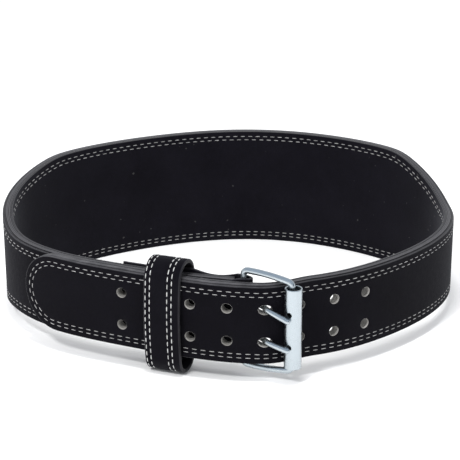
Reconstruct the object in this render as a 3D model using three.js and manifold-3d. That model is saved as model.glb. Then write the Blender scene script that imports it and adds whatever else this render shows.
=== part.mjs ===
// A leather weightlifting belt, buckled into its loop and standing on its lower edge.
//
// Millimetres, +Z up, the floor at z = 0. The buckle faces -Y, as a wearer would face -Y.
// One long strap of three glued plies starts at the buckle, runs round the back, comes
// forward again and passes the buckle as the tongue. "run" is the distance along the strap
// from the buckle's hinge; "depth" is measured inwards from the strap's outer face.

import * as THREE from 'three';
import { mergeVertices } from 'three/addons/utils/BufferGeometryUtils.js';
import Module from 'manifold-3d';

// The loop, seen from above.
const LOOP_RADIUS = 164.3;            // mean radius of the strap's outer face
const LOOP_WAVES = [                  // how the loop differs from a circle, as shares of its radius
  { waves: 2, cosine: 0.0934, sine: 0.0045 },
  { waves: 3, cosine: -0.0265, sine: 0.0015 },
  { waves: 4, cosine: 0.0231, sine: 0.0115 },
  { waves: 5, cosine: 0.0045, sine: -0.0018 },
];
const HINGE_BEARING = 272.5;          // degrees, where on the loop the buckle is hinged
const BACK_BEARING = 90;              // degrees, the middle of the back

// The strap.
const BACK_WIDTH = 103.6;             // the wide part over the spine
const FRONT_WIDTH = 60.5;             // both ends of the strap
const FRONT_DROP = 7;                 // the front's midline hangs lower than the back's
const OUTER_PLY = 2.2;                // dark napped leather outside
const CORE_PLY = 3.8;                 // pale raw leather between
const INNER_PLY = 2.0;                // dark suede inside
const GLUE_LINE = 0.2;                // gap between glued plies
const EDGE_BEVEL = 0.5;               // the burnished shoulders of the edges
const FACE_MARGIN = 0.25;             // the two faces end this far inside the core's edge
const STATION_STEP = 13;              // length of one facet along the strap
const TIP_FACETS = 8;                 // rows round half of the tongue's round tip
const TIP_BLUNT = 0.06;               // share of the width left flat at the very end

const TAPERS = [                      // where the strap narrows, as shares of the loop's girth
  { side: 'buckle', from: 0.170, to: 0.300 },
  { side: 'tongue', from: 0.158, to: 0.229 },
];
const TAPER_ROUNDING = 12;            // how softly each taper starts and ends

// The overlap at the front.
const TONGUE_LENGTH = 178;            // from the hinge to the tip
const TONGUE_RISE = 3.8;              // the tip lies a little higher than the strap under it
const TONGUE_CLEARANCE = 0.9;         // between the tongue and the strap under it
const LIFT_LENGTH = 42;               // the stretch over which the tongue climbs outwards
const LIFT_START = 38;                // that stretch starts this far before the pinned holes

// The holes.
const HOLE_DIAMETER = 7.5;
const HOLE_PITCH = 27.2;              // along the strap
const HOLE_ROWS = 25.5;               // between the upper and the lower row
const HOLES_TO_TIP = 4;               // pairs between the pinned pair and the tip
const HOLES_TO_BACK = 3;              // pairs on the other side of the pinned pair
const HOLE_SIDES = 12;
const ROWS = [-1, 1];                 // the lower row and the upper row
const PUNCH_REACH = 1;                // how far a punch stands out of the strap's face
const WALK_STEP = 0.05;               // how finely the strap's length is measured
const PIN_REACH = 15.7;               // from the hinge to the pinned pair

// The buckle.
const WIRE_DIAMETER = 4.8;
const WIRE_SIDES = 10;
const CORNER_FACETS = 5;
const FRAME_HEIGHT = 78.6;            // over the wires, at the hinge
const FRAME_NARROWING = 0.068;        // share of that height lost at the roller
const FRAME_ARCH = 1.2;               // how far each arm bows outwards midway
const ARM_FACETS = 5;
const FRAME_LIFT = 2.0;               // the hinge's middle above the strap's midline
const FRAME_SAG = 2.8;                // the roller side hangs this much lower
const HINGE_CORNER = 3.5;             // bend radii of the frame, to the middle of the wire
const ROLLER_CORNER = 3.0;
const ROLLER_REACH = 34.4;            // from the hinge to the roller, along the strap
const ROLLER_DIAMETER = 13.0;
const ROLLER_WALL = 1.2;
const ROLLER_LENGTH = 62.2;
const ROLLER_DROP = 1.0;              // the roller's middle below the strap's midline
const ROLLER_SIDES = 24;
const NOTCH_DIAMETER = 4.4;           // seats for the prongs in the roller's wall
const NOTCH_DROP = 0.8;               // their middle below the roller's middle
const NOTCH_SIDES = 8;
const SEAT_TURN = 1.5;                // how much further out than towards the hinge they look
const PRONG_DIAMETER = 4.3;
const PRONG_SIDES = 8;
const PRONG_STEPS = 8;
const PRONG_SLACK = 2.2;              // each prong's eye above its hole
const PRONGS = [                      // how far each prong's tip droops below its hole
  { name: 'prong_upper', row: 1, droop: 6.0 },
  { name: 'prong_lower', row: -1, droop: 3.4 },
];
const DROOP_AT_HOLE = 0.125;          // share of its droop that a prong has in its hole
const EYE_WALL = 2.1;
const EYE_HEIGHT = 5.0;
const EYE_SIDES = 16;
const EYE_PLAY = 0.9;                 // between an eye and each end of its slot

// The strap that holds the buckle, and its rivets.
const TAB_THICKNESS = 2.2;
const TAB_RISE = 2.0;                 // it stands proud of the strap's edges
const TAB_OUTER_LEG = 32;
const TAB_INNER_LEG = 98;
const TAB_NOSE = 7.0;                 // from the hinge to the front of the fold
const TAB_STEP = 10;                  // length of one facet along its legs
const NOSE_FACETS = 10;               // round the fold
const LANDING_FACETS = 4;             // from the fold to the strap's cut end
const STRAP_START = 7.5;              // from the hinge to the strap's own cut end
const RIVET_RUN = 18;
const RIVET_ROWS = 36;
const RIVET_SHANK = 4.0;
const RIVET_HEAD = 9.0;
const RIVET_HEAD_HEIGHT = 1.2;
const RIVET_SIDES = 12;

// The keeper loop.
const KEEPER_RUN = 56.6;              // from the hinge to the keeper's middle
const KEEPER_WIDTH = 28.5;
const KEEPER_HEADROOM = 8.9;          // between the strap's upper edge and the keeper
const KEEPER_THICKNESS = 2.8;
const KEEPER_BEND = 13;               // outer radius of its four bends
const KEEPER_BEVEL = 0.9;
const KEEPER_FACETS = 4;              // in each bend
const KEEPER_PLACES = 4;              // steps across it where the strap's bend is measured

// Clearances.
const SEAT = 0.3;                     // between pieces that rest on each other
const PRONG_ROOM = 0.35;              // between a prong and the leather it pushes aside

const DEGREE = Math.PI / 180;
const STRAP_THICKNESS = OUTER_PLY + CORE_PLY + INNER_PLY + 2 * GLUE_LINE;

const wasm = await Module();
wasm.setup();

// The loop's radius at a bearing, and its slope.
function loopRadius(bearing) {
  let share = 1;
  let slope = 0;
  for (const row of LOOP_WAVES) {
    const turn = row.waves * bearing;
    share += row.cosine * Math.cos(turn) + row.sine * Math.sin(turn);
    slope += row.waves * (row.sine * Math.cos(turn) - row.cosine * Math.sin(turn));
  }
  return { radius: LOOP_RADIUS * share, slope: LOOP_RADIUS * slope };
}

// Distances along the loop from the hinge, clockwise as seen from above.
const LOOP_STEPS = 1440;
const loopRuns = [0];
for (let step = 1; step <= LOOP_STEPS; step += 1) {
  const middle = HINGE_BEARING * DEGREE - (2 * Math.PI * (step - 0.5)) / LOOP_STEPS;
  const { radius, slope } = loopRadius(middle);
  loopRuns.push(loopRuns[step - 1] + (Math.hypot(radius, slope) * 2 * Math.PI) / LOOP_STEPS);
}
const GIRTH = loopRuns[LOOP_STEPS];

function bearingAt(run) {
  const wrapped = ((run % GIRTH) + GIRTH) % GIRTH;
  let low = 0;
  let high = LOOP_STEPS;
  while (high - low > 1) {
    const middle = Math.floor((low + high) / 2);
    if (loopRuns[middle] > wrapped) high = middle;
    else low = middle;
  }
  const share = (wrapped - loopRuns[low]) / (loopRuns[high] - loopRuns[low]);
  return HINGE_BEARING * DEGREE - (2 * Math.PI * (low + share)) / LOOP_STEPS;
}

function runAt(bearing) {
  const turns = (HINGE_BEARING - bearing) / 360;
  const place = (((turns % 1) + 1) % 1) * LOOP_STEPS;
  const low = Math.floor(place);
  return loopRuns[low] + (place - low) * (loopRuns[low + 1] - loopRuns[low]);
}

// A point "out" millimetres outside the loop, at a height over the floor.
function besideLoop(run, out, height) {
  const bearing = bearingAt(run);
  const { radius, slope } = loopRadius(bearing);
  const along = Math.hypot(radius, slope);
  const outX = (radius * Math.cos(bearing) + slope * Math.sin(bearing)) / along;
  const outY = (radius * Math.sin(bearing) - slope * Math.cos(bearing)) / along;
  return new THREE.Vector3(
    radius * Math.cos(bearing) + out * outX,
    radius * Math.sin(bearing) + out * outY,
    height,
  );
}

function outwardAt(run) {
  return besideLoop(run, 1, 0).sub(besideLoop(run, 0, 0));
}

function ease(share) {
  const held = Math.min(1, Math.max(0, share));
  return held * held * (3 - 2 * held);
}

function softRamp(distance) {
  return 0.5 * (distance + Math.hypot(distance, TAPER_ROUNDING));
}

// 0 over the back, 1 at both narrow ends.
const BACK_RUN = runAt(BACK_BEARING);
function narrowing(run) {
  const taper = TAPERS[run < BACK_RUN ? 0 : 1];
  const from = taper.from * GIRTH;
  const to = taper.to * GIRTH;
  const away = Math.abs(run - BACK_RUN);
  return Math.min(1, (softRamp(away - from) - softRamp(away - to)) / (to - from));
}

const STRAP_END = GIRTH + TONGUE_LENGTH;
const PINNED_RUN = GIRTH - PIN_REACH;
const ROLLER_RUN = GIRTH - ROLLER_REACH;

function strapWidth(run) {
  return BACK_WIDTH + (FRONT_WIDTH - BACK_WIDTH) * narrowing(run);
}

function strapMiddle(run) {
  const rise = TONGUE_RISE * Math.max(0, (run - ROLLER_RUN) / (STRAP_END - ROLLER_RUN));
  return BACK_WIDTH / 2 - FRONT_DROP * narrowing(run) + rise;
}

// How far the strap's outer face stands outside the loop: the tongue climbs over the
// buckle's hinge, and the buckle end is pressed in under the folded tab.
const TONGUE_LIFT = STRAP_THICKNESS + TONGUE_CLEARANCE;
const EYE_RADIUS = WIRE_DIAMETER / 2 + SEAT + EYE_WALL;
const HINGE_OUT = TONGUE_CLEARANCE - 2 * SEAT - EYE_RADIUS;
const FOLD_HALF = WIRE_DIAMETER / 2 + SEAT + TAB_THICKNESS / 2;
const BUCKLE_END_INSET = -(HINGE_OUT + FOLD_HALF - TAB_THICKNESS / 2 - SEAT);

function strapLift(run) {
  if (run < BACK_RUN) {
    return -BUCKLE_END_INSET * (1 - ease((run - TAB_OUTER_LEG) / TAB_OUTER_LEG));
  }
  return TONGUE_LIFT * ease((run - (PINNED_RUN - LIFT_START)) / LIFT_LENGTH);
}

function strapPoint(run, depth, above) {
  return besideLoop(run, strapLift(run) - depth, strapMiddle(run) + above);
}

// Making and joining solids.
function solidOf(geometry) {
  const bare = geometry.clone();
  for (const name of ['normal', 'uv']) bare.deleteAttribute(name);
  const merged = mergeVertices(bare, 1e-4);
  return new wasm.Manifold(new wasm.Mesh({
    numProp: 3,
    vertProperties: new Float32Array(merged.attributes.position.array),
    triVerts: new Uint32Array(merged.index.array),
  }));
}

function geometryOf(solid) {
  const mesh = solid.getMesh();
  const geometry = new THREE.BufferGeometry();
  geometry.setAttribute('position', new THREE.BufferAttribute(new Float32Array(mesh.vertProperties), 3));
  geometry.setIndex(Array.from(mesh.triVerts));
  geometry.computeVertexNormals();
  return geometry;
}

function cut(geometry, tools) {
  let solid = solidOf(geometry);
  for (const tool of tools) solid = solid.subtract(solidOf(tool));
  return geometryOf(solid);
}

function join(parts) {
  return geometryOf(parts.map(solidOf).reduce((whole, part) => whole.add(part)));
}

// A cylinder from one point to another.
function rod(from, to, radius, sides) {
  const reach = new THREE.Vector3().subVectors(to, from);
  const geometry = new THREE.CylinderGeometry(radius, radius, reach.length(), sides);
  const turn = new THREE.Quaternion().setFromUnitVectors(
    new THREE.Vector3(0, 1, 0),
    reach.clone().normalize(),
  );
  geometry.applyQuaternion(turn);
  const middle = new THREE.Vector3().addVectors(from, to).multiplyScalar(0.5);
  return geometry.translate(middle.x, middle.y, middle.z);
}

// A round bar along a curve, with flat ends.
function bar(curve, radius, sides, steps) {
  const section = new THREE.Shape();
  for (let side = 0; side < sides; side += 1) {
    const turn = (2 * Math.PI * side) / sides;
    const place = [radius * Math.cos(turn), radius * Math.sin(turn)];
    if (side === 0) section.moveTo(...place);
    else section.lineTo(...place);
  }
  return new THREE.ExtrudeGeometry(section, { extrudePath: curve, steps });
}

// Where the strap's cross-sections stand, from its cut end to its round tip.
function stations() {
  const rows = [];
  const tipRadius = FRONT_WIDTH / 2;
  const straightEnd = STRAP_END - tipRadius;
  const count = Math.ceil((straightEnd - STRAP_START) / STATION_STEP);
  for (let row = 0; row <= count; row += 1) {
    rows.push({ run: STRAP_START + ((straightEnd - STRAP_START) * row) / count, share: 1 });
  }
  for (let row = 1; row < TIP_FACETS; row += 1) {
    const turn = (Math.PI / 2) * (row / TIP_FACETS);
    rows.push({ run: straightEnd + tipRadius * Math.sin(turn), share: Math.cos(turn) });
  }
  rows.push({ run: STRAP_END, share: TIP_BLUNT });
  return rows;
}

// One ply: a flat strip bent round the loop, its bevels on the outer or the inner side.
function ply({ depth, thickness, outerBevel, innerBevel, margin }) {
  const rows = stations();
  const heights = outerBevel + innerBevel > 0 ? 3 : 1;
  const strip = new THREE.BoxGeometry(1, 1, 1, rows.length - 1, heights, 1);
  const place = strip.attributes.position;
  for (let index = 0; index < place.count; index += 1) {
    const row = rows[Math.round((place.getX(index) + 0.5) * (rows.length - 1))];
    const level = Math.round((place.getY(index) + 0.5) * heights);
    const atEdge = level === 0 || level === heights;
    const onInnerFace = place.getZ(index) > 0;
    const side = level * 2 < heights ? -1 : 1;
    const half = (strapWidth(row.run) / 2 - margin) * row.share;
    const above = side * (atEdge ? half : half - EDGE_BEVEL * row.share);
    const bevel = atEdge ? (onInnerFace ? -innerBevel : outerBevel) : 0;
    const point = strapPoint(row.run, depth + (onInnerFace ? thickness : 0) + bevel, above);
    place.setXYZ(index, point.x, point.y, point.z);
  }
  return strip;
}

// The run that lies a given length of strap beyond another run, where the tongue's climb
// makes the strap longer than the loop under it.
function runBeyond(start, length) {
  const step = Math.sign(length) * WALK_STEP;
  const middleAt = (run) => besideLoop(run, strapLift(run) - STRAP_THICKNESS / 2, 0);
  let run = start;
  let walked = 0;
  let here = middleAt(run);
  while (walked < Math.abs(length) - WALK_STEP / 2) {
    const next = middleAt(run + step);
    walked += next.distanceTo(here);
    run += step;
    here = next;
  }
  return run;
}

// The strap's holes, in two rows, straight through all plies.
function holeRuns() {
  const runs = [];
  for (let place = -HOLES_TO_BACK; place <= HOLES_TO_TIP; place += 1) {
    runs.push(place === 0 ? PINNED_RUN : runBeyond(PINNED_RUN, place * HOLE_PITCH));
  }
  return runs;
}

function holePunches() {
  const punches = [];
  for (const run of holeRuns()) {
    for (const row of ROWS) {
      const above = (row * HOLE_ROWS) / 2;
      const outer = strapPoint(run, -PUNCH_REACH, above);
      const inner = strapPoint(run, STRAP_THICKNESS + TONGUE_CLEARANCE / 2, above);
      punches.push(rod(inner, outer, HOLE_DIAMETER / 2, HOLE_SIDES));
    }
  }
  return punches;
}

// The buckle's places.
const hingeMiddle = besideLoop(0, HINGE_OUT, strapMiddle(0) + FRAME_LIFT);
const rollerOut = strapLift(ROLLER_RUN) + SEAT + ROLLER_DIAMETER / 2;
const rollerMiddle = besideLoop(ROLLER_RUN, rollerOut, strapMiddle(ROLLER_RUN) - ROLLER_DROP);
const ROLLER_PLAY = ROLLER_DIAMETER / 2 - ROLLER_WALL - WIRE_DIAMETER / 2 - 2 * SEAT;

// The roller hangs on the frame's bar, so the bar lies towards the hinge inside its bore.
const towardsHinge = new THREE.Vector3().subVectors(hingeMiddle, rollerMiddle).setZ(0).normalize();
const barPush = towardsHinge.clone().addScaledVector(outwardAt(ROLLER_RUN), 1).normalize();
const barMiddle = rollerMiddle.clone().addScaledVector(barPush, ROLLER_PLAY).setZ(hingeMiddle.z);
const FRAME_REACH = barMiddle.distanceTo(hingeMiddle);

// The frame: a wire bent round and closed. Both bars stand upright and the arms sag.
function frameOutline() {
  const half = FRAME_HEIGHT / 2 - WIRE_DIAMETER / 2;
  const corners = [
    { across: FRAME_REACH - ROLLER_CORNER, up: half - ROLLER_CORNER, bend: ROLLER_CORNER, turn: 0 },
    { across: HINGE_CORNER, up: half - HINGE_CORNER, bend: HINGE_CORNER, turn: 90 },
    { across: HINGE_CORNER, up: HINGE_CORNER - half, bend: HINGE_CORNER, turn: 180 },
    { across: FRAME_REACH - ROLLER_CORNER, up: ROLLER_CORNER - half, bend: ROLLER_CORNER, turn: 270 },
  ];
  const flat = [];
  corners.forEach((corner, place) => {
    for (let facet = 0; facet <= CORNER_FACETS; facet += 1) {
      const turn = (corner.turn + (90 * facet) / CORNER_FACETS) * DEGREE;
      const across = corner.across + corner.bend * Math.cos(turn);
      flat.push({ across, up: corner.up + corner.bend * Math.sin(turn) });
    }
    if (place % 2 === 1) return;
    const next = corners[place + 1];
    const side = Math.sign(corner.up);
    for (let facet = 1; facet < ARM_FACETS; facet += 1) {
      const share = facet / ARM_FACETS;
      flat.push({ across: corner.across + (next.across - corner.across) * share, up: side * half });
    }
  });
  return flat.map(({ across, up }) => {
    const share = across / FRAME_REACH;
    const arch = Math.sign(up) * FRAME_ARCH * 4 * share * (1 - share);
    const bowed = Math.abs(up) > half - HINGE_CORNER ? arch : 0;
    return new THREE.Vector2(across, up * (1 - FRAME_NARROWING * share) + bowed - FRAME_SAG * share);
  });
}

// The outward direction at each corner of a closed outline.
function outwardNormals(outline) {
  return outline.map((point, index) => {
    const before = outline[(index + outline.length - 1) % outline.length];
    const after = outline[(index + 1) % outline.length];
    const heading = new THREE.Vector2().subVectors(after, before).normalize();
    return new THREE.Vector2(heading.y, -heading.x);
  });
}

function wireFrame() {
  const outline = frameOutline();
  const normals = outwardNormals(outline);
  const ring = new THREE.TorusGeometry(FRAME_REACH, WIRE_DIAMETER / 2, WIRE_SIDES, outline.length);
  const place = ring.attributes.position;
  for (let side = 0; side <= WIRE_SIDES; side += 1) {
    const turn = (2 * Math.PI * (side % WIRE_SIDES)) / WIRE_SIDES;
    const outward = (WIRE_DIAMETER / 2) * Math.cos(turn);
    const sideways = (WIRE_DIAMETER / 2) * Math.sin(turn);
    for (let step = 0; step <= outline.length; step += 1) {
      const point = outline[step % outline.length].clone();
      point.addScaledVector(normals[step % outline.length], outward);
      place.setXYZ(side * (outline.length + 1) + step, point.x, point.y, sideways);
    }
  }
  return ring.rotateX(Math.PI / 2);
}

// The side of the roller that the prongs rest on, between the hinge and the front.
const seatSide = towardsHinge.clone().addScaledVector(outwardAt(ROLLER_RUN), SEAT_TURN).normalize();

// The roller: an open tube with a seat for each prong.
function roller() {
  const outer = ROLLER_DIAMETER / 2;
  const inner = outer - ROLLER_WALL;
  const half = ROLLER_LENGTH / 2;
  const profile = [[inner, -half], [outer, -half], [outer, half], [inner, half], [inner, -half]];
  const tube = new THREE.LatheGeometry(profile.map(([x, y]) => new THREE.Vector2(x, y)), ROLLER_SIDES);
  tube.rotateX(Math.PI / 2);
  const seats = ROWS.map((row) => {
    const middle = new THREE.Vector3(0, 0, (row * HOLE_ROWS) / 2 - NOTCH_DROP);
    const from = middle.clone().addScaledVector(seatSide, inner - NOTCH_DIAMETER / 2);
    const to = middle.clone().addScaledVector(seatSide, outer + SEAT);
    return rod(from, to, NOTCH_DIAMETER / 2, NOTCH_SIDES);
  });
  return cut(tube, seats);
}

// A prong: a round bar from an eye on the hinge, through its hole, to the roller.
function prongCurve({ row, droop }) {
  const hole = (row * HOLE_ROWS) / 2;
  const level = strapPoint(PINNED_RUN, 0, hole).z;
  const eye = hingeMiddle.clone().setZ(level + PRONG_SLACK);
  const lean = PRONG_DIAMETER / 2;
  const inner = strapPoint(PINNED_RUN + lean, STRAP_THICKNESS, hole);
  const outer = strapPoint(PINNED_RUN - lean, 0, hole).setZ(level - droop * DROOP_AT_HOLE);
  const rest = ROLLER_DIAMETER / 2 + SEAT + PRONG_DIAMETER / 2;
  const tip = rollerMiddle.clone().addScaledVector(seatSide, rest).setZ(level - droop);
  const start = eye.clone().lerp(inner, (EYE_RADIUS - EYE_WALL / 2) / eye.distanceTo(inner));
  return { eye, curve: new THREE.CatmullRomCurve3([start, inner, outer, tip]), tip };
}

function prong(which) {
  const { eye, curve, tip } = prongCurve(which);
  const shank = bar(curve, PRONG_DIAMETER / 2, PRONG_SIDES, PRONG_STEPS);
  const inner = EYE_RADIUS - EYE_WALL;
  const half = EYE_HEIGHT / 2;
  const profile = [[inner, -half], [EYE_RADIUS, -half], [EYE_RADIUS, half], [inner, half], [inner, -half]];
  const ring = new THREE.LatheGeometry(profile.map(([x, y]) => new THREE.Vector2(x, y)), EYE_SIDES);
  ring.rotateX(Math.PI / 2);
  ring.translate(eye.x, eye.y, eye.z);
  const end = new THREE.SphereGeometry(PRONG_DIAMETER / 2, PRONG_SIDES, PRONG_SIDES / 2);
  end.translate(tip.x, tip.y, tip.z);
  const bore = rod(
    eye.clone().setZ(eye.z - EYE_HEIGHT),
    eye.clone().setZ(eye.z + EYE_HEIGHT),
    inner,
    EYE_SIDES,
  );
  return cut(join([shank, ring, end]), [bore]);
}

// The leather gives way where a prong slants through it.
function prongRoom(which) {
  return bar(prongCurve(which).curve, PRONG_DIAMETER / 2 + PRONG_ROOM, PRONG_SIDES, PRONG_STEPS);
}

// The tab: one thin strap folded round the hinge, both legs on the strap's end.
function tabMidline() {
  const points = [];
  const outerOut = HINGE_OUT + FOLD_HALF;
  for (let run = TAB_OUTER_LEG; run > 0; run -= TAB_STEP) {
    points.push(besideLoop(run, outerOut, 0));
  }
  const nose = TAB_NOSE - TAB_THICKNESS / 2;
  for (let facet = 0; facet <= NOSE_FACETS; facet += 1) {
    const turn = (Math.PI * facet) / NOSE_FACETS;
    points.push(besideLoop(-nose * Math.sin(turn), HINGE_OUT + FOLD_HALF * Math.cos(turn), 0));
  }
  const innerGap = SEAT + TAB_THICKNESS / 2 + STRAP_THICKNESS;
  const folded = HINGE_OUT - FOLD_HALF;
  const spread = STRAP_START - 2 * SEAT;
  const innerOut = (run) => folded + (strapLift(STRAP_START) - innerGap - folded) * ease(run / spread);
  for (let facet = 1; facet <= LANDING_FACETS; facet += 1) {
    const run = (spread * facet) / LANDING_FACETS;
    points.push(besideLoop(run, innerOut(run), 0));
  }
  const count = Math.ceil((TAB_INNER_LEG - STRAP_START) / TAB_STEP);
  for (let step = 1; step <= count; step += 1) {
    const run = STRAP_START + ((TAB_INNER_LEG - STRAP_START) * step) / count;
    points.push(besideLoop(run, strapLift(run) - innerGap, 0));
  }
  return points;
}

function tab() {
  const middle = tabMidline();
  const left = [];
  const right = [];
  for (let index = 0; index < middle.length; index += 1) {
    const before = middle[Math.max(0, index - 1)];
    const after = middle[Math.min(middle.length - 1, index + 1)];
    const heading = new THREE.Vector3().subVectors(after, before).normalize();
    const aside = new THREE.Vector2(-heading.y, heading.x).multiplyScalar(TAB_THICKNESS / 2);
    left.push(new THREE.Vector2(middle[index].x + aside.x, middle[index].y + aside.y));
    right.push(new THREE.Vector2(middle[index].x - aside.x, middle[index].y - aside.y));
  }
  const outline = new THREE.Shape([...left, ...right.reverse()]);
  const height = FRONT_WIDTH + 2 * TAB_RISE;
  const strip = new THREE.ExtrudeGeometry(outline, { depth: height, bevelEnabled: false });
  strip.translate(0, 0, strapMiddle(0) - height / 2);
  const slots = PRONGS.map((which) => {
    const { eye } = prongCurve(which);
    const long = EYE_RADIUS + SEAT + 2 * TAB_NOSE;
    const throughBothLegs = 4 * FOLD_HALF;
    const slot = new THREE.BoxGeometry(long, throughBothLegs, EYE_HEIGHT + 2 * EYE_PLAY);
    slot.translate(long / 2 - EYE_RADIUS - SEAT, 0, 0);
    const outward = outwardAt(0);
    slot.rotateZ(Math.atan2(outward.y, outward.x) + Math.PI / 2);
    return slot.translate(eye.x, eye.y, eye.z);
  });
  return cut(strip, [...slots, ...ROWS.map((row) => rivetRoom(row))]);
}

// The rivets that clinch the tab's legs to the strap.
function rivetEnds(row) {
  const above = (row * RIVET_ROWS) / 2;
  const height = strapMiddle(RIVET_RUN) + above;
  const outer = HINGE_OUT + FOLD_HALF + TAB_THICKNESS / 2;
  const inner = strapLift(RIVET_RUN) - STRAP_THICKNESS - SEAT - TAB_THICKNESS;
  return { outer, inner, height };
}

function rivetShape(row, grow) {
  const { outer, inner, height } = rivetEnds(row);
  const at = (out) => besideLoop(RIVET_RUN, out, height);
  const shank = rod(at(inner - SEAT / 2), at(outer - SEAT), RIVET_SHANK / 2 + grow, RIVET_SIDES);
  const under = at(outer - RIVET_HEAD_HEIGHT - grow);
  const sunk = rod(under, at(outer + grow / 2), RIVET_HEAD / 2 + grow, RIVET_SIDES);
  return { shank, sunk, at, inner };
}

function rivet(row) {
  const { shank, sunk, at, inner } = rivetShape(row, 0);
  const head = rod(
    at(inner - SEAT - RIVET_HEAD_HEIGHT),
    at(inner - SEAT),
    RIVET_HEAD / 2,
    RIVET_SIDES,
  );
  const shankIn = rod(at(inner - SEAT - RIVET_HEAD_HEIGHT / 2), at(inner), RIVET_SHANK / 2, RIVET_SIDES);
  return join([shank, sunk, head, shankIn]);
}

function rivetRoom(row) {
  const { shank, sunk, at, inner } = rivetShape(row, SEAT);
  const below = at(inner - TAB_THICKNESS);
  const through = rod(below, at(inner + TAB_THICKNESS), RIVET_SHANK / 2 + SEAT, RIVET_SIDES);
  return join([shank, sunk, through]);
}

// The keeper: a loose loop that stands on the floor and reaches over the tongue's upper edge.
const KEEPER_HEIGHT = strapMiddle(GIRTH + KEEPER_RUN) + FRONT_WIDTH / 2 + KEEPER_HEADROOM + KEEPER_THICKNESS;

// Flat legs have to clear the bend of the strap over the keeper's whole width.
function keeperSizes() {
  const facing = outwardAt(KEEPER_RUN);
  const origin = besideLoop(KEEPER_RUN, 0, 0);
  const reach = (run, out) => besideLoop(run, out, 0).sub(origin).dot(facing);
  const backing = STRAP_THICKNESS + SEAT + TAB_THICKNESS;
  let front = -Infinity;
  let back = Infinity;
  for (let place = 0; place <= KEEPER_PLACES; place += 1) {
    const run = KEEPER_RUN + (place / KEEPER_PLACES - 0.5) * KEEPER_WIDTH;
    front = Math.max(front, reach(run, strapLift(GIRTH + run)));
    back = Math.min(back, reach(run, strapLift(run) - backing));
  }
  front += SEAT + KEEPER_THICKNESS;
  back -= SEAT + KEEPER_THICKNESS;
  return { depth: front - back, middle: (front + back) / 2 };
}

// A rectangle with round corners, upright round the middle.
function roundedFrame(path, depth, height, bend) {
  const side = depth / 2 - bend;
  const straight = height / 2 - bend;
  path.moveTo(depth / 2, -straight);
  path.absarc(side, straight, bend, 0, Math.PI / 2, false);
  path.absarc(-side, straight, bend, Math.PI / 2, Math.PI, false);
  path.absarc(-side, -straight, bend, Math.PI, 1.5 * Math.PI, false);
  path.absarc(side, -straight, bend, 1.5 * Math.PI, 2 * Math.PI, false);
  return path;
}

function keeper() {
  const { depth } = keeperSizes();
  const wall = KEEPER_THICKNESS;
  const ring = roundedFrame(new THREE.Shape(), depth, KEEPER_HEIGHT, KEEPER_BEND);
  const openHeight = KEEPER_HEIGHT - 2 * wall;
  const inside = roundedFrame(new THREE.Path(), depth - 2 * wall, openHeight, KEEPER_BEND - wall);
  ring.holes.push(inside);
  const loop = new THREE.ExtrudeGeometry(ring, {
    depth: KEEPER_WIDTH - 2 * KEEPER_BEVEL,
    curveSegments: KEEPER_FACETS,
    bevelSize: KEEPER_BEVEL,
    bevelThickness: KEEPER_BEVEL,
    bevelOffset: -KEEPER_BEVEL,
    bevelSegments: 1,
  });
  loop.translate(0, 0, -(KEEPER_WIDTH - 2 * KEEPER_BEVEL) / 2);
  return loop.rotateX(Math.PI / 2);
}

// Materials.
function leather(colour) {
  return new THREE.MeshStandardMaterial({ color: colour, roughness: 0.9, metalness: 0 });
}
const NUBUCK = leather(0x1d1c20);
const RAW = leather(0x5c5b60);
const SUEDE = leather(0x1b1a1e);
const STRAPPING = leather(0x201f25);
const ZINC = new THREE.MeshStandardMaterial({ color: 0xd9dfe3, roughness: 0.28, metalness: 1 });

// The assembly.
const belt = new THREE.Group();

function add(name, geometry, material, group = belt) {
  const mesh = new THREE.Mesh(geometry, material);
  mesh.name = name;
  group.add(mesh);
  return mesh;
}

const punches = [...holePunches(), ...PRONGS.map(prongRoom)];
const rivetRooms = ROWS.map((row) => rivetRoom(row));
const CORE_DEPTH = OUTER_PLY + GLUE_LINE;
const INNER_DEPTH = CORE_DEPTH + CORE_PLY + GLUE_LINE;
const outerPly = {
  depth: 0,
  thickness: OUTER_PLY,
  outerBevel: EDGE_BEVEL,
  innerBevel: 0,
  margin: FACE_MARGIN,
};
const corePly = { depth: CORE_DEPTH, thickness: CORE_PLY, outerBevel: 0, innerBevel: 0, margin: 0 };
const innerPly = {
  depth: INNER_DEPTH,
  thickness: INNER_PLY,
  outerBevel: 0,
  innerBevel: EDGE_BEVEL,
  margin: FACE_MARGIN,
};
add('outer_ply', cut(ply(outerPly), [...punches, ...rivetRooms]), NUBUCK);
add('core_ply', cut(ply(corePly), [...punches, ...rivetRooms]), RAW);
add('inner_ply', cut(ply(innerPly), [...punches, ...rivetRooms]), SUEDE);

add('buckle_tab', tab(), STRAPPING);
add('rivet_upper', rivet(1), ZINC);
add('rivet_lower', rivet(-1), ZINC);

const keeperPlace = besideLoop(KEEPER_RUN, keeperSizes().middle, KEEPER_HEIGHT / 2);
const keeperFacing = outwardAt(KEEPER_RUN);
const keeperMesh = add('keeper_loop', keeper(), STRAPPING);
keeperMesh.position.copy(keeperPlace);
keeperMesh.rotation.z = Math.atan2(keeperFacing.y, keeperFacing.x);

const frameMesh = add('buckle_frame', wireFrame(), ZINC);
frameMesh.position.copy(hingeMiddle);
frameMesh.rotation.z = Math.atan2(-towardsHinge.y, -towardsHinge.x);

const rollerMesh = add('buckle_roller', roller(), ZINC);
rollerMesh.position.copy(rollerMiddle);

for (const which of PRONGS) add(which.name, prong(which), ZINC);

// The origin lies on the floor under the middle of the whole belt.
belt.updateMatrixWorld(true);
const extent = new THREE.Box3().setFromObject(belt);
const centre = extent.getCenter(new THREE.Vector3());
belt.position.set(-centre.x, -centre.y, -extent.min.z);

export default belt;
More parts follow.
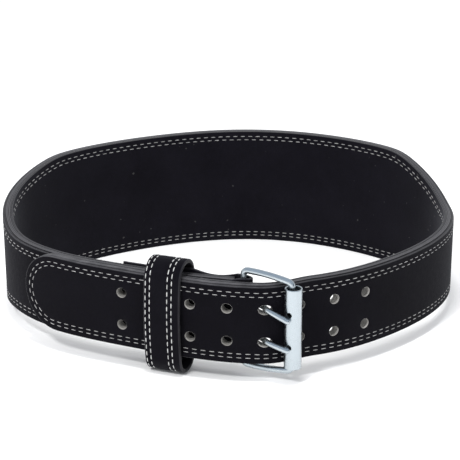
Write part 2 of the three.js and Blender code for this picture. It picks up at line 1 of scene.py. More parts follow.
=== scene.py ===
# %% [markdown]
# # A leather weightlifting belt
# The belt is one long strap of three glued leathers. It starts at a roller buckle, runs
# round the back, where it is widest, and passes the buckle again as a tongue. Every
# leather piece is made here the way a saddler makes it: cut flat, punched, bent into
# place and sewn. Sizes are in millimetres while a piece is flat, and in metres once it
# is bent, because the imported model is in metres.

import math

import bmesh
import bpy
import numpy as np
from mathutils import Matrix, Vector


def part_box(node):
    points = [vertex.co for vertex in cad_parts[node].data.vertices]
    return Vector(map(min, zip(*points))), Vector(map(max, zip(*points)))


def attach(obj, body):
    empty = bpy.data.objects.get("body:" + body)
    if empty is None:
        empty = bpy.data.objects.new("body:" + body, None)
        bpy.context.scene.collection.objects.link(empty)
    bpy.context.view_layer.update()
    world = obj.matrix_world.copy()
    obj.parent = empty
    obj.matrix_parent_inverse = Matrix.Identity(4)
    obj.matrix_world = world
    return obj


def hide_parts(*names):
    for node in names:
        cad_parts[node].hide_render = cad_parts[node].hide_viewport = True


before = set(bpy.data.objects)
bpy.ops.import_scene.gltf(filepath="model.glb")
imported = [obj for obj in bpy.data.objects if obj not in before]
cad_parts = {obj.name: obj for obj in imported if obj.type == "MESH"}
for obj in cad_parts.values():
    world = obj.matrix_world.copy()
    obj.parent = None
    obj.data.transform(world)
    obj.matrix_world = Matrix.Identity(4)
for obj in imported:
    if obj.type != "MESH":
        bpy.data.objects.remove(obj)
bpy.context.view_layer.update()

MM = 0.001
DEGREE = math.pi / 180

# %% [markdown]
# ## The loop seen from above
# A buckled belt isn't a circle: it is wider than deep and flatter over the buckle. A
# circle with a few waves added to its radius follows such a shape with very few numbers.
# A spline through many points would also do, but each point would have to be placed by
# hand. Places along the strap are then one number, the run from the buckle's hinge.

# %% The loop's shape, and the way from a run to a place
LOOP_RADIUS = 164.3
LOOP_WAVES = [  # waves round the loop, cosine share, sine share
    (2, 0.0934, 0.0045),
    (3, -0.0265, 0.0015),
    (4, 0.0231, 0.0115),
    (5, 0.0045, -0.0018),
]
HINGE_BEARING, BACK_BEARING = 272.5 * DEGREE, 90 * DEGREE
LOOP_STEPS = 2880


def loop_radius(bearing):
    share, slope = 1.0, 0.0
    for waves, cosine, sine in LOOP_WAVES:
        share = share + cosine * np.cos(waves * bearing) + sine * np.sin(waves * bearing)
        slope = slope + waves * (sine * np.cos(waves * bearing) - cosine * np.sin(waves * bearing))
    return LOOP_RADIUS * share, LOOP_RADIUS * slope


loop_bearings = HINGE_BEARING - 2 * math.pi * np.arange(LOOP_STEPS + 1) / LOOP_STEPS
step_radius, step_slope = loop_radius((loop_bearings[1:] + loop_bearings[:-1]) / 2)
step_lengths = np.hypot(step_radius, step_slope) * 2 * math.pi / LOOP_STEPS
loop_runs = np.concatenate([[0], np.cumsum(step_lengths)])
GIRTH = loop_runs[-1]
BACK_RUN = np.interp(HINGE_BEARING - BACK_BEARING, HINGE_BEARING - loop_bearings, loop_runs)
print(f"round the loop it is {GIRTH:.0f} mm")


def beside_loop(run, out, height):
    """Points a distance outside the loop and a height over the floor, in mm."""
    run, out, height = np.broadcast_arrays(*(np.asarray(a, float) for a in (run, out, height)))
    bearing = np.interp(run % GIRTH, loop_runs, loop_bearings)
    cosine, sine = np.cos(bearing), np.sin(bearing)
    radius, slope = loop_radius(bearing)
    along = np.hypot(radius, slope)
    x = radius * cosine + out * (radius * cosine + slope * sine) / along
    y = radius * sine + out * (radius * sine - slope * cosine) / along
    return np.stack([x, y, height], -1)


def outward_at(run):
    return beside_loop(run, 1, 0) - beside_loop(run, 0, 0)


# %% [markdown]
# ## The strap's course
# The strap is wide over the back and tapers to both ends. Its tongue climbs over the
# buckle's hinge and lies outside the strap's own beginning, and the beginning is pressed
# in a little under the folded leather that holds the buckle. Small functions of the run
# say this in the same way for every layer, so the layers can't drift apart.

# %% Widths, heights and lifts along the strap
BACK_WIDTH, FRONT_WIDTH = 103.6, 60.5
FRONT_DROP, TONGUE_RISE = 7, 3.8
OUTER_PLY, CORE_PLY, INNER_PLY, GLUE_LINE = 2.2, 3.8, 2.0, 0.2
STRAP_THICKNESS = OUTER_PLY + CORE_PLY + INNER_PLY + 2 * GLUE_LINE
TAPERS = ((0.170, 0.300), (0.158, 0.229))  # buckle's and tongue's: from, to, shares of the girth
TAPER_ROUNDING = 12
TONGUE_LENGTH, TONGUE_CLEARANCE = 178, 0.9
LIFT_LENGTH, LIFT_START = 42, 38
PIN_REACH, ROLLER_REACH = 15.7, 34.4
STRAP_START = 7.5
STRAP_END = GIRTH + TONGUE_LENGTH
PINNED_RUN = GIRTH - PIN_REACH
ROLLER_RUN = GIRTH - ROLLER_REACH
WIRE_DIAMETER, TAB_THICKNESS, EYE_WALL, SEAT = 4.8, 2.2, 2.1, 0.3
TAB_OUTER_LEG, TAB_INNER_LEG, TAB_NOSE, TAB_RISE = 32, 98, 7.0, 2.0
EYE_RADIUS = WIRE_DIAMETER / 2 + SEAT + EYE_WALL
HINGE_OUT = TONGUE_CLEARANCE - 2 * SEAT - EYE_RADIUS
FOLD_HALF = WIRE_DIAMETER / 2 + SEAT + TAB_THICKNESS / 2
BUCKLE_END_INSET = -(HINGE_OUT + FOLD_HALF - TAB_THICKNESS / 2 - SEAT)


def ease(share):
    held = np.clip(share, 0, 1)
    return held * held * (3 - 2 * held)


def soft_ramp(distance):
    return 0.5 * (distance + np.hypot(distance, TAPER_ROUNDING))


def narrowing(run):
    """0 over the back, 1 at both narrow ends."""
    run = np.asarray(run, float)
    away = np.abs(run - BACK_RUN)
    shares = []
    for low, high in TAPERS:
        ramp = soft_ramp(away - low * GIRTH) - soft_ramp(away - high * GIRTH)
        shares.append(np.minimum(1, ramp / ((high - low) * GIRTH)))
    return np.where(run < BACK_RUN, *shares)


def half_width(run):
    return (BACK_WIDTH + (FRONT_WIDTH - BACK_WIDTH) * narrowing(run)) / 2


def strap_middle(run):
    beyond = np.maximum(0, (np.asarray(run, float) - ROLLER_RUN) / (STRAP_END - ROLLER_RUN))
    return BACK_WIDTH / 2 - FRONT_DROP * narrowing(run) + TONGUE_RISE * beyond


def strap_lift(run):
    run = np.asarray(run, float)
    pressed_in = -BUCKLE_END_INSET * (1 - ease((run - TAB_OUTER_LEG) / TAB_OUTER_LEG))
    climb = ease((run - (PINNED_RUN - LIFT_START)) / LIFT_LENGTH)
    return np.where(run < BACK_RUN, pressed_in, (STRAP_THICKNESS + TONGUE_CLEARANCE) * climb)


def strap_point(run, above, depth):
    """The strap's own bend: from flat leather (run, above, depth) to a place beside the loop."""
    return beside_loop(run, strap_lift(run) - depth, strap_middle(run) + above)


# %% [markdown]
# ## One middle for the model and the loop
# The waves push the loop a little off its own middle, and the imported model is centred.
# The shift between the two is measured here and added to every place. Typing it in would
# be shorter, but it would be wrong as soon as one size changes.

# %% Line the loop up with the model
core_low, core_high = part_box("core_ply")
around = strap_point(np.linspace(STRAP_START, STRAP_END, 2000), 0, OUTER_PLY + GLUE_LINE)
own_middle = (around.min(0) + around.max(0)) / 2
core_middle = 1000 * (np.array(core_low) + np.array(core_high)) / 2
CENTRING = np.array([*(core_middle - own_middle)[:2], 0])
print("the loop moves by", CENTRING.round(2), "mm")


def settle(points):
    """Millimetres beside the loop to metres in the model."""
    return (np.asarray(points) + CENTRING) * MM


# %% [markdown]
# ## Rings of points
# Edges, hole walls, threads and wires are all tubes: rings of points with faces between
# each ring and the next. One function joins them all, so that no tube needs its own
# counting. A punched hole is harder, because its ring has other points than the grid
# around it, so there the two are zipped together with triangles by their angle.

# %% Rings, and the faces between them
def even_turns(steps):
    return [2 * math.pi * k / steps for k in range(steps)]


def numbered_rings(count, size, first=0):
    """The numbers of points that were added ring by ring."""
    return [list(range(first + r * size, first + (r + 1) * size)) for r in range(count)]


def tube_faces(rings):
    """Quads along a row of rings with as many points each."""
    faces = []
    for first, second in zip(rings, rings[1:]):
        faces += zip(first, first[1:] + first[:1], second[1:] + second[:1], second)
    return faces


def zip_rings(outer, inner, places, middle):
    """Triangles between two rings of points that both lie round one middle."""
    def by_angle(ring):
        return sorted((math.atan2(places[k][1] - middle[1], places[k][0] - middle[0]), k)
                      for k in ring)

    a, b = by_angle(outer), by_angle(inner)
    i = j = 0
    faces = []
    while i < len(a) or j < len(b):
        next_a = a[(i + 1) % len(a)][0] + (2 * math.pi if i + 1 >= len(a) else 0)
        next_b = b[(j + 1) % len(b)][0] + (2 * math.pi if j + 1 >= len(b) else 0)
        here_a, here_b = a[i % len(a)][1], b[j % len(b)][1]
        if j >= len(b) or (i < len(a) and next_a <= next_b):
            i += 1
            faces.append((here_a, a[i % len(a)][1], here_b))
        else:
            j += 1
            faces.append((here_a, b[j % len(b)][1], here_b))
    return faces


def lengths_along(line):
    """How far along a line each of its points lies."""
    steps = np.linalg.norm(np.diff(line, axis=0), axis=1)
    return np.concatenate([[0], np.cumsum(steps)])


# %% [markdown]
# ## Cutting leather flat
# A saddler cuts a strap flat, rounds its edges, punches its holes and only then bends it.
# The same order works in mesh code. A sheet is a grid of columns and rows with two faces,
# an edge that joins them, and punched holes. Booleans could punch the holes too, but they
# leave ragged long faces that catch the light, so each hole gets its own neat ring
# instead: the cells under the punch go, and triangles join grid and ring.

# %% A flat sheet with rounded edges and punched holes
HOLE_POINTS, TIP_STEPS = 28, 28
PUNCH_MARGIN = 0.7  # at least this much leather between a hole and the grid round it
FLARE = ((1, 0), (0.35, 0.3), (0, 1))  # a hole's soft lip: outwards and down, in flares
UPPER, EDGE, WALL, BACK = range(4)  # kinds of face


def cut_sheet(columns, row_places, top, bottom, edge, holes=(), round_tip=False, relief=None):
    """Flat leather. row_places(u) gives the rows at a column, from one edge to the other.

    edge is a list of (outwards, depth) from the upper face to the lower one. holes are
    (u, v, radius along, radius across, flare). Returns places, faces and their kinds.
    """
    places, faces, kinds = [], [], []

    def put(u, v, d):
        places.append((u, v, d))
        return len(places) - 1

    def add(kind, more):
        faces.extend(more)
        kinds.extend([kind] * len(more))

    last = len(row_places(columns[0])) - 1
    half = last // 2
    sides = []
    for depth, kind in ((top, UPPER), (bottom, BACK)):
        raise_by = relief if (relief and kind == UPPER) else (lambda u, v: 0.0)
        grid = [[put(u, v, depth - raise_by(u, v)) for v in row_places(u)] for u in columns]
        gone, rims = set(), []
        for u, v, along, across, flare in holes:
            grow_u, grow_v = along + flare + PUNCH_MARGIN, across + flare + PUNCH_MARGIN
            i0 = max(i for i, c in enumerate(columns) if c <= u - grow_u)
            i1 = min(i for i, c in enumerate(columns) if c >= u + grow_u)
            j0 = max(j for j, r in enumerate(row_places(u)) if r >= v + grow_v)
            j1 = min(j for j, r in enumerate(row_places(u)) if r <= v - grow_v)
            gone |= {(i, j) for i in range(i0, i1) for j in range(j0, j1)}
            rims.append([grid[i][j0] for i in range(i0, i1)]
                        + [grid[i1][j] for j in range(j0, j1)]
                        + [grid[i][j1] for i in range(i1, i0, -1)]
                        + [grid[i0][j] for j in range(j1, j0, -1)])
        add(kind, [(grid[i][j], grid[i + 1][j], grid[i + 1][j + 1], grid[i][j + 1])
                   for i in range(len(columns) - 1) for j in range(last) if (i, j) not in gone])

        boundary = [(grid[i][0], (0, 1)) for i in range(len(columns))]
        if round_tip:
            middle, reaches = columns[-1], row_places(columns[-1])[:half]
            turns = [math.pi / 2 - math.pi * m / TIP_STEPS for m in range(1, TIP_STEPS)]
            arc = []
            for t in turns:
                spots = [(middle + reach * math.cos(t), reach * math.sin(t)) for reach in reaches]
                arc.append([put(u, v, depth - raise_by(u, v)) for u, v in spots])
            spokes = [grid[-1][:half], *arc, grid[-1][:half:-1]]
            for first, second in zip(spokes, spokes[1:]):
                add(kind, [(first[j], second[j], second[j + 1], first[j + 1])
                           for j in range(half - 1)])
                add(kind, [(first[-1], second[-1], grid[-1][half])])
            boundary += [(spoke[0], (math.cos(t), math.sin(t))) for spoke, t in zip(arc, turns)]
            boundary += [(grid[i][last], (0, -1)) for i in range(len(columns) - 1, 0, -1)]
        else:
            boundary[-1] = (grid[-1][0], (1, 1))
            boundary += [(grid[-1][j], (1, 0)) for j in range(1, last)]
            boundary.append((grid[-1][last], (1, -1)))
            boundary += [(grid[i][last], (0, -1)) for i in range(len(columns) - 2, 0, -1)]
        boundary.append((grid[0][last], (-1, -1)))
        boundary += [(grid[0][j], (-1, 0)) for j in range(last - 1, 0, -1)]
        boundary[0] = (grid[0][0], (-1, 1))
        sides.append((boundary, rims))

    upper, lower = sides[0][0], sides[1][0]
    bands = [[k for k, _ in upper]]
    for out, depth in edge:
        bands.append([put(places[k][0] + way[0] * out, places[k][1] + way[1] * out, depth)
                      for k, way in upper])
    add(EDGE, tube_faces([*bands, [k for k, _ in lower]]))

    for number, (u, v, along, across, flare) in enumerate(holes):
        levels = [(out * flare, top + down * flare) for out, down in FLARE] if flare else [(0, top)]
        rings = [[put(u + (along + out) * math.cos(t), v + (across + out) * math.sin(t), depth)
                  for t in even_turns(HOLE_POINTS)] for out, depth in [*levels, (0, bottom)]]
        add(WALL, tube_faces(rings))
        for (_, rims), own, kind in zip(sides, (rings[0], rings[-1]), (UPPER, BACK)):
            add(kind, zip_rings(rims[number], own, places, (u, v)))
    return np.array(places), faces, kinds


def rounded_edge(shoulder, top, bottom, lower_shoulder=0.0, steps=3):
    """The edge between two faces, as (outwards, depth), with one or two round shoulders."""
    turns = [90 * DEGREE * k / steps for k in range(1, steps + 1)]
    line = [(shoulder * math.sin(t), top + shoulder * (1 - math.cos(t))) for t in turns]
    if not lower_shoulder:
        return line + [(shoulder, bottom)]
    return line + [(shoulder - lower_shoulder * (1 - math.cos(t)),
                    bottom - lower_shoulder * (1 - math.sin(t))) for t in [0, *turns[:-1]]]


# %% [markdown]
# ## From a flat sheet to a piece on the belt
# Each sheet is bent by a function that takes flat places to real ones. The flat places
# are kept as the piece's UV map, in metres, so that grain, fibre and the lines along an
# edge follow the leather round every bend. Edges and hole walls use the distance along
# the sheet and the depth instead.

# %% Make a piece, and dress it
belt_collection = bpy.context.scene.collection


def make_piece(name, places, faces, materials, kinds=None, flat=None, smooth_angle=35,
               replaces=None):
    """A mesh from places in metres. A sheet also has its faces' kinds and its flat places."""
    mesh = bpy.data.meshes.new(name)
    mesh.from_pydata([tuple(p) for p in places], [], faces)
    for material in materials:
        mesh.materials.append(material)
    if flat is not None:
        finishes = np.minimum(kinds, len(materials) - 1).astype(np.int32)
        mesh.polygons.foreach_set("material_index", finishes)
        corners = np.empty(len(mesh.loops), np.int32)
        mesh.loops.foreach_get("vertex_index", corners)
        kind = np.repeat(kinds, [len(face) for face in faces])
        spot = flat[corners] * MM
        across = np.where((kind == EDGE) | (kind == WALL), spot[:, 2], spot[:, 1])
        along = np.where(kind == WALL, spot[:, 0] + spot[:, 1], spot[:, 0])
        uv = mesh.uv_layers.new(name="flat")
        uv.data.foreach_set("uv", np.stack([along, across], -1).ravel().astype(np.float32))
    mesh.validate()
    work = bmesh.new()
    work.from_mesh(mesh)
    loose = [v for v in work.verts if not v.link_faces]
    bmesh.ops.delete(work, geom=loose, context="VERTS")
    bmesh.ops.recalc_face_normals(work, faces=work.faces)
    work.to_mesh(mesh)
    work.free()
    mesh.polygons.foreach_set("use_smooth", [True] * len(mesh.polygons))
    mesh.set_sharp_from_angle(angle=smooth_angle * DEGREE)
    piece = bpy.data.objects.new(name, mesh)
    belt_collection.objects.link(piece)
    if replaces:
        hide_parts(replaces)
    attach(piece, "root")
    print(f"{name}: {sum(len(p.vertices) - 2 for p in mesh.polygons)} triangles")


def bend_sheet(name, sheet, bend, materials, node):
    """Bend a flat sheet into the piece that shows one solid of the model."""
    places, faces, kinds = sheet
    make_piece(name, settle(bend(*places.T)), faces, materials, kinds, places,
               replaces=node)


# %% [markdown]
# ## Materials as short recipes
# Every finish is a small tree of nodes: noise for what varies, a ramp for its colours and
# bumps for its touch. Placing the nodes by hand in the editor works as well, but a few
# helpers keep each recipe so short that it reads like a list of ingredients.

# %% Helpers for materials
def new_material(name):
    material = bpy.data.materials.new(name)
    material.use_nodes = True
    print("finish:", name)
    return material, material.node_tree, material.node_tree.nodes["Principled BSDF"]


def linear(level):
    """A 0 to 255 screen level as a linear value."""
    s = level / 255
    return s / 12.92 if s <= 0.04045 else ((s + 0.055) / 1.055) ** 2.4


def screen_colours(*colours):
    return [(*map(linear, colour), 1) for colour in colours]


def grey(level):
    return (level, level, level, 1)


def fill(tree, node, values):
    """Give a node's inputs plain values or other nodes' outputs."""
    for socket, value in values.items():
        if isinstance(value, bpy.types.NodeSocket):
            tree.links.new(value, node.inputs[socket])
        else:
            node.inputs[socket].default_value = value


def object_places(tree):
    return tree.nodes.new("ShaderNodeTexCoord").outputs["Object"]


def flat_places(tree):
    node = tree.nodes.new("ShaderNodeUVMap")
    node.uv_map = "flat"
    return node.outputs["UV"]


def noise(tree, places, scale, detail, roughness):
    node = tree.nodes.new("ShaderNodeTexNoise")
    fill(tree, node, {"Vector": places, "Scale": scale, "Detail": detail, "Roughness": roughness})
    return node.outputs["Fac"]


def ramp(tree, value, stops):
    node = tree.nodes.new("ShaderNodeValToRGB")
    while len(node.color_ramp.elements) < len(stops):
        node.color_ramp.elements.new(0.5)
    for element, (place, colour) in zip(node.color_ramp.elements, stops):
        element.position = place
        element.color = colour
    fill(tree, node, {"Fac": value})
    return node.outputs["Color"]


def mixed(tree, share, first, second, blend="MIX"):
    node = tree.nodes.new("ShaderNodeMix")
    node.data_type = "RGBA"
    node.blend_type = blend
    fill(tree, node, {"Factor": share, "A": first, "B": second})
    return node.outputs["Result"]


def maths(tree, operation, first, second=0):
    node = tree.nodes.new("ShaderNodeMath")
    node.operation = operation
    fill(tree, node, {0: first, 1: second})
    return node.outputs["Value"]


def weighed(tree, first, first_share, second):
    """Two noises as one, in shares that make 1."""
    return maths(tree, "ADD", maths(tree, "MULTIPLY", first, first_share),
                 maths(tree, "MULTIPLY", second, 1 - first_share))


def bumped(tree, shader, layers):
    """layers are (height, strength, distance in metres)."""
    normal = None
    for height, strength, distance in layers:
        node = tree.nodes.new("ShaderNodeBump")
        fill(tree, node, {"Height": height, "Strength": strength, "Distance": distance})
        if normal:
            fill(tree, node, {"Normal": normal})
        normal = node.outputs["Normal"]
    fill(tree, shader, {"Normal": normal})


# %% [markdown]
# ## Leather faces
# The faces are black nubuck and suede: leather with a short nap. It is nearly black when
# looked at squarely and turns grey where it is seen along the surface, because the ends
# of the fibres catch the light. Sheen on the shader gives exactly that. Fine noise makes
# the nap, and slow noise the cloudy patches that hands leave on it.

# %% Napped faces
CLOUD_SCALE, DUST_SCALE = 26, 240


def napped_leather(name, dark, light, specks=0.0, sheen=0.08, nap=1500):
    material, tree, shader = new_material(name)
    dark, light = screen_colours(dark, light)
    spot = object_places(tree)
    nap_grain = noise(tree, spot, nap, 5, 0.65)
    tufts = noise(tree, spot, nap / 5, 4, 0.55)
    patches = weighed(tree, noise(tree, spot, CLOUD_SCALE, 3, 0.5), 0.55, tufts)
    colour = ramp(tree, patches, [(0.34, dark), (0.66, light)])
    grain = ramp(tree, nap_grain, [(0.3, grey(0.78)), (0.72, grey(1.25))])
    colour = mixed(tree, 1.0, colour, grain, "MULTIPLY")
    if specks:
        dust = noise(tree, spot, DUST_SCALE, 1, 0.3)
        fleck = ramp(tree, dust, [(0.775, grey(0)), (0.81, grey(specks))])
        colour = mixed(tree, fleck, colour, (0.30, 0.29, 0.28, 1))
    fill(tree, shader, {
        "Base Color": colour,
        "Roughness": ramp(tree, tufts, [(0.3, grey(0.78)), (0.7, grey(0.96))]),
        "Specular IOR Level": 0.06,
        "Sheen Weight": sheen,
        "Sheen Roughness": 0.42,
        "Sheen Tint": (0.86, 0.87, 0.95, 1),
    })
    bumped(tree, shader, [(nap_grain, 0.35, 0.0002), (tufts, 0.25, 0.0005)])
    return material


NUBUCK = napped_leather("nubuck", (9, 8, 12), (14, 13, 18), sheen=0.05)
SUEDE = napped_leather("suede_lining", (12, 11, 16), (19, 18, 24), specks=0.12, nap=1150)
STRAPPING = napped_leather("strapping", (9, 8, 13), (16, 15, 20), sheen=0.06)

# %% [markdown]
# ## Cut edges
# The cut edges were rubbed with dark dye, and thin paler lines still show where the
# layers meet. Along the tongue, from 50 mm before the hinge on, the edge is made paler.
# The punched walls of the holes were never dyed. All of it follows from two numbers of
# the UV map, the run along the sheet and the depth in it, so the lines stay with the
# layers round any bend.

# %% Cut edges and punched walls
PALER_SPAN = 2.0  # longer than any run, in metres
PALER_FROM, PALER_TO = GIRTH - 50, GIRTH + 15
FIBRE_STRETCH = (60, 2600, 1)


def cut_edge(name, dark, light, line, line_depths=(), line_width=0.25, gloss=0.5, paler_tongue=False):
    material, tree, shader = new_material(name)
    dark, light, line = screen_colours(dark, light, line)
    stretched = tree.nodes.new("ShaderNodeMapping")
    split = tree.nodes.new("ShaderNodeSeparateXYZ")
    flat = flat_places(tree)
    fill(tree, stretched, {"Vector": flat, "Scale": FIBRE_STRETCH})
    fill(tree, split, {"Vector": flat})
    fibres = noise(tree, stretched.outputs["Vector"], 1.0, 5, 0.6)
    blotches = noise(tree, object_places(tree), 120, 4, 0.6)
    blend = weighed(tree, fibres, 0.6, blotches)
    colour = ramp(tree, blend, [(0.36, dark), (0.64, light)])
    wander = maths(tree, "MULTIPLY", maths(tree, "SUBTRACT", blotches, 0.5), 0.0006)
    depth = maths(tree, "ADD", split.outputs["Y"], wander)
    for place in line_depths:
        away = maths(tree, "ABSOLUTE", maths(tree, "SUBTRACT", depth, place * MM))
        share = ramp(tree, maths(tree, "DIVIDE", away, 2 * line_width * MM),
                     [(0.0, grey(0.85)), (1.0, grey(0))])
        colour = mixed(tree, share, colour, line)
    # the edge turns paler along the tongue, from 50 mm before the hinge on
    if paler_tongue:
        paler_share = ramp(tree, maths(tree, "DIVIDE", split.outputs["X"], PALER_SPAN),
                    [(PALER_FROM * MM / PALER_SPAN, grey(0)), (PALER_TO * MM / PALER_SPAN, grey(0.62))])
        colour = mixed(tree, paler_share, colour, ramp(tree, blend, [(0.36, light), (0.64, line)]))
    fill(tree, shader, {"Base Color": colour, "Roughness": gloss, "Specular IOR Level": 0.15,
                        "Sheen Weight": 0.05})
    bumped(tree, shader, [(fibres, 0.5, 0.0003), (blotches, 0.3, 0.0005)])
    return material


DYED_EDGE = cut_edge("dyed_edge", (15, 14, 18), (36, 35, 40), (84, 83, 86))
PLY_EDGE = cut_edge(
    "ply_edge", (10, 10, 13), (33, 33, 37), (80, 79, 82),
    line_depths=(0.8, OUTER_PLY - 0.15, STRAP_THICKNESS - INNER_PLY + 0.2, STRAP_THICKNESS - 0.7),
    line_width=0.2, paler_tongue=True)
CORE_EDGE = cut_edge(
    "core_edge", (13, 13, 16), (40, 40, 44), (92, 91, 94),
    line_depths=(OUTER_PLY + 0.9, OUTER_PLY + 2.0, OUTER_PLY + CORE_PLY - 0.5), paler_tongue=True)
PUNCHED = cut_edge("punched_wall", (108, 106, 103), (172, 170, 166), (150, 148, 143), gloss=0.8)

# %% [markdown]
# ## Thread and zinc
# The thread is thick bonded polyester, off-white, with a visible twist; painted shade
# darkens the colour in the furrows of the twist. The buckle is bent steel wire with bright
# zinc plating, which is bluish and slightly cloudy rather than mirror-like, so its
# roughness varies a little from place to place.

# %% Thread and metal finishes
TWIST_SCALE = 420


def twisted_thread(name, pale, shade):
    material, tree, shader = new_material(name)
    pale, shade = screen_colours(pale, shade)
    twist = tree.nodes.new("ShaderNodeTexWave")
    twist.wave_type, twist.bands_direction = "BANDS", "DIAGONAL"
    fill(tree, twist, {"Vector": flat_places(tree), "Scale": TWIST_SCALE, "Distortion": 0.6})
    soil = noise(tree, object_places(tree), 160, 3, 0.5)
    colour = ramp(tree, soil, [(0.35, shade), (0.62, pale)])
    # painted shade: the colour darkens in the furrows between the twist's strands
    painted_furrow_shade = ramp(tree, twist.outputs["Fac"], [(0.0, grey(0.72)), (0.45, grey(1))])
    colour = mixed(tree, 1.0, colour, painted_furrow_shade, "MULTIPLY")
    fill(tree, shader, {"Base Color": colour, "Roughness": 0.6, "Sheen Weight": 0.3})
    bumped(tree, shader, [(twist.outputs["Fac"], 0.6, 0.0002)])
    return material


def zinc_plate(name, colour, dull=0.32, bright=0.25):
    material, tree, shader = new_material(name)
    cloud = noise(tree, object_places(tree), 90, 4, 0.55)
    grit = noise(tree, object_places(tree), 1300, 3, 0.5)
    shaded = (*(0.96 * c for c in colour[:3]), 1)
    fill(tree, shader, {
        "Base Color": ramp(tree, cloud, [(0.3, shaded), (0.7, colour)]),
        "Metallic": 1.0,
        "Roughness": ramp(tree, cloud, [(0.3, grey(bright)), (0.75, grey(dull))]),
    })
    bumped(tree, shader, [(grit, 0.006, 0.00005), (cloud, 0.012, 0.0004)])
    return material


THREAD = twisted_thread("seam_thread", (164, 163, 162), (132, 131, 130))
KEEPER_THREAD = twisted_thread("keeper_thread", (198, 198, 197), (168, 168, 166))
ZINC = zinc_plate("bright_zinc", (0.46, 0.51, 0.54, 1))

# %% [markdown]
# ## The strap
# Three leathers make the strap: black nubuck outside, a pale firm core, suede inside. The
# rows of the grid lie closer together near the edges, because there the seams press two
# shallow channels into the face, and the edge turns over in a soft shoulder. Along the
# front the layers behind stand up a little higher than the face, as on a worn belt.

# %% Rows, seam channels and holes of the strap
SEAM_INSETS = (4.6, 7.7)
CHANNEL_DEPTH, CHANNEL_HALF = 0.26, 0.75
CROWN_HEIGHT, CROWN_HALF = 0.10, 3.2
SHOULDER, FACE_MARGIN = 0.65, 0.25
ROW_INSETS = (1.6, 2.8, 3.8, 4.6, 5.4, 6.15, 6.9, 7.7, 8.6, 10.2, 12.2)
PROUD_END, PROUD_FADE = 45, 40  # the higher edge ends this far before the tip, over this length
HOLE_RADIUS, HOLE_PITCH, HOLE_ROWS = 3.75, 27.2, 25.5
PINNED_STRETCH = 1.28  # the pulled hole is longer than the others
HOLES_TO_TIP, HOLES_TO_BACK = 4, 3
TIP_RADIUS = FRONT_WIDTH / 2
STRAIGHT_END = STRAP_END - TIP_RADIUS


def strap_rows(margin, proud):
    """Row places at a run: crowded near both edges, even between, with a middle row.

    proud is how much further the upper edge stands up along the front.
    """
    def at(run):
        half = float(half_width(run))
        near = [half - inset for inset in (margin, *ROW_INSETS)]
        lower = near + [near[-1] * (1 - k / 4) for k in range(1, 4)]
        fade = float(narrowing(run)) * (1 - ease((run - STRAIGHT_END + PROUD_END) / PROUD_FADE))
        upper = [v + proud * fade * max(0, v / half) ** 6 for v in lower]
        return upper + [0.0] + [-v for v in reversed(lower)]
    return at


def bell(distance, half):
    """1 in the middle, fading away on both sides."""
    return np.exp(-((distance / half) ** 2))


def seam_relief(run, above):
    """Two pressed channels along each edge, with the leather a little proud between them."""
    if run > STRAIGHT_END:
        away = TIP_RADIUS - math.hypot(run - STRAIGHT_END, above)
    else:
        away = float(half_width(run)) - abs(above)
    channels = sum(bell(away - inset, CHANNEL_HALF) for inset in SEAM_INSETS)
    return CROWN_HEIGHT * bell(away - sum(SEAM_INSETS) / 2, CROWN_HALF) - CHANNEL_DEPTH * channels


def run_beyond(start, length, step=0.05):
    """The run a given length of strap beyond another run."""
    runs = start + math.copysign(1, length) * np.arange(0, 1.3 * abs(length), step)
    walked = lengths_along(beside_loop(runs, strap_lift(runs) - STRAP_THICKNESS / 2, 0))
    return float(np.interp(abs(length), walked, runs))


hole_runs = [PINNED_RUN if k == 0 else run_beyond(PINNED_RUN, k * HOLE_PITCH)
             for k in range(-HOLES_TO_BACK, HOLES_TO_TIP + 1)]
print("holes at", [round(r - GIRTH) for r in hole_runs], "mm from the hinge")

# %% [markdown]
# ## Three leathers, one bend
# All three layers are cut with the same columns and holes and bent by the same function,
# at their own depth under the face. One thick block would be lighter, but a sewn strap
# shows its layers at every edge, and in the holes.

# %% Cut, bend and dress the three leathers
CORE_TOP = OUTER_PLY + GLUE_LINE
CORE_FOOT = CORE_TOP + CORE_PLY
INNER_TOP = CORE_FOOT + GLUE_LINE
RIM = SHOULDER - FACE_MARGIN
CORE_RIM, CORE_BULGE, CORE_SHOULDER, CORE_MARGIN = 0.18, 0.28, 0.5, 0.2
CORE_PROUD, LINING_PROUD, HOLE_FLARE, STRAP_COLUMNS = 0.7, 1.2, 0.15, 301
strap_columns = list(np.linspace(STRAP_START, STRAIGHT_END, STRAP_COLUMNS))


def strap_layer(name, node, top, bottom, edge, materials, margin, proud=0.0, flare=0,
                relief=None):
    holes = []
    for run in hole_runs:
        along = HOLE_RADIUS * (PINNED_STRETCH if run == PINNED_RUN else 1.0)
        holes += [(run, row * HOLE_ROWS / 2, along, HOLE_RADIUS, flare) for row in (-1, 1)]
    sheet = cut_sheet([strap_columns[0] + margin, *strap_columns[1:]], strap_rows(margin, proud),
                      top, bottom, edge, holes, round_tip=True, relief=relief)
    bend_sheet(name, sheet, strap_point, materials, node)


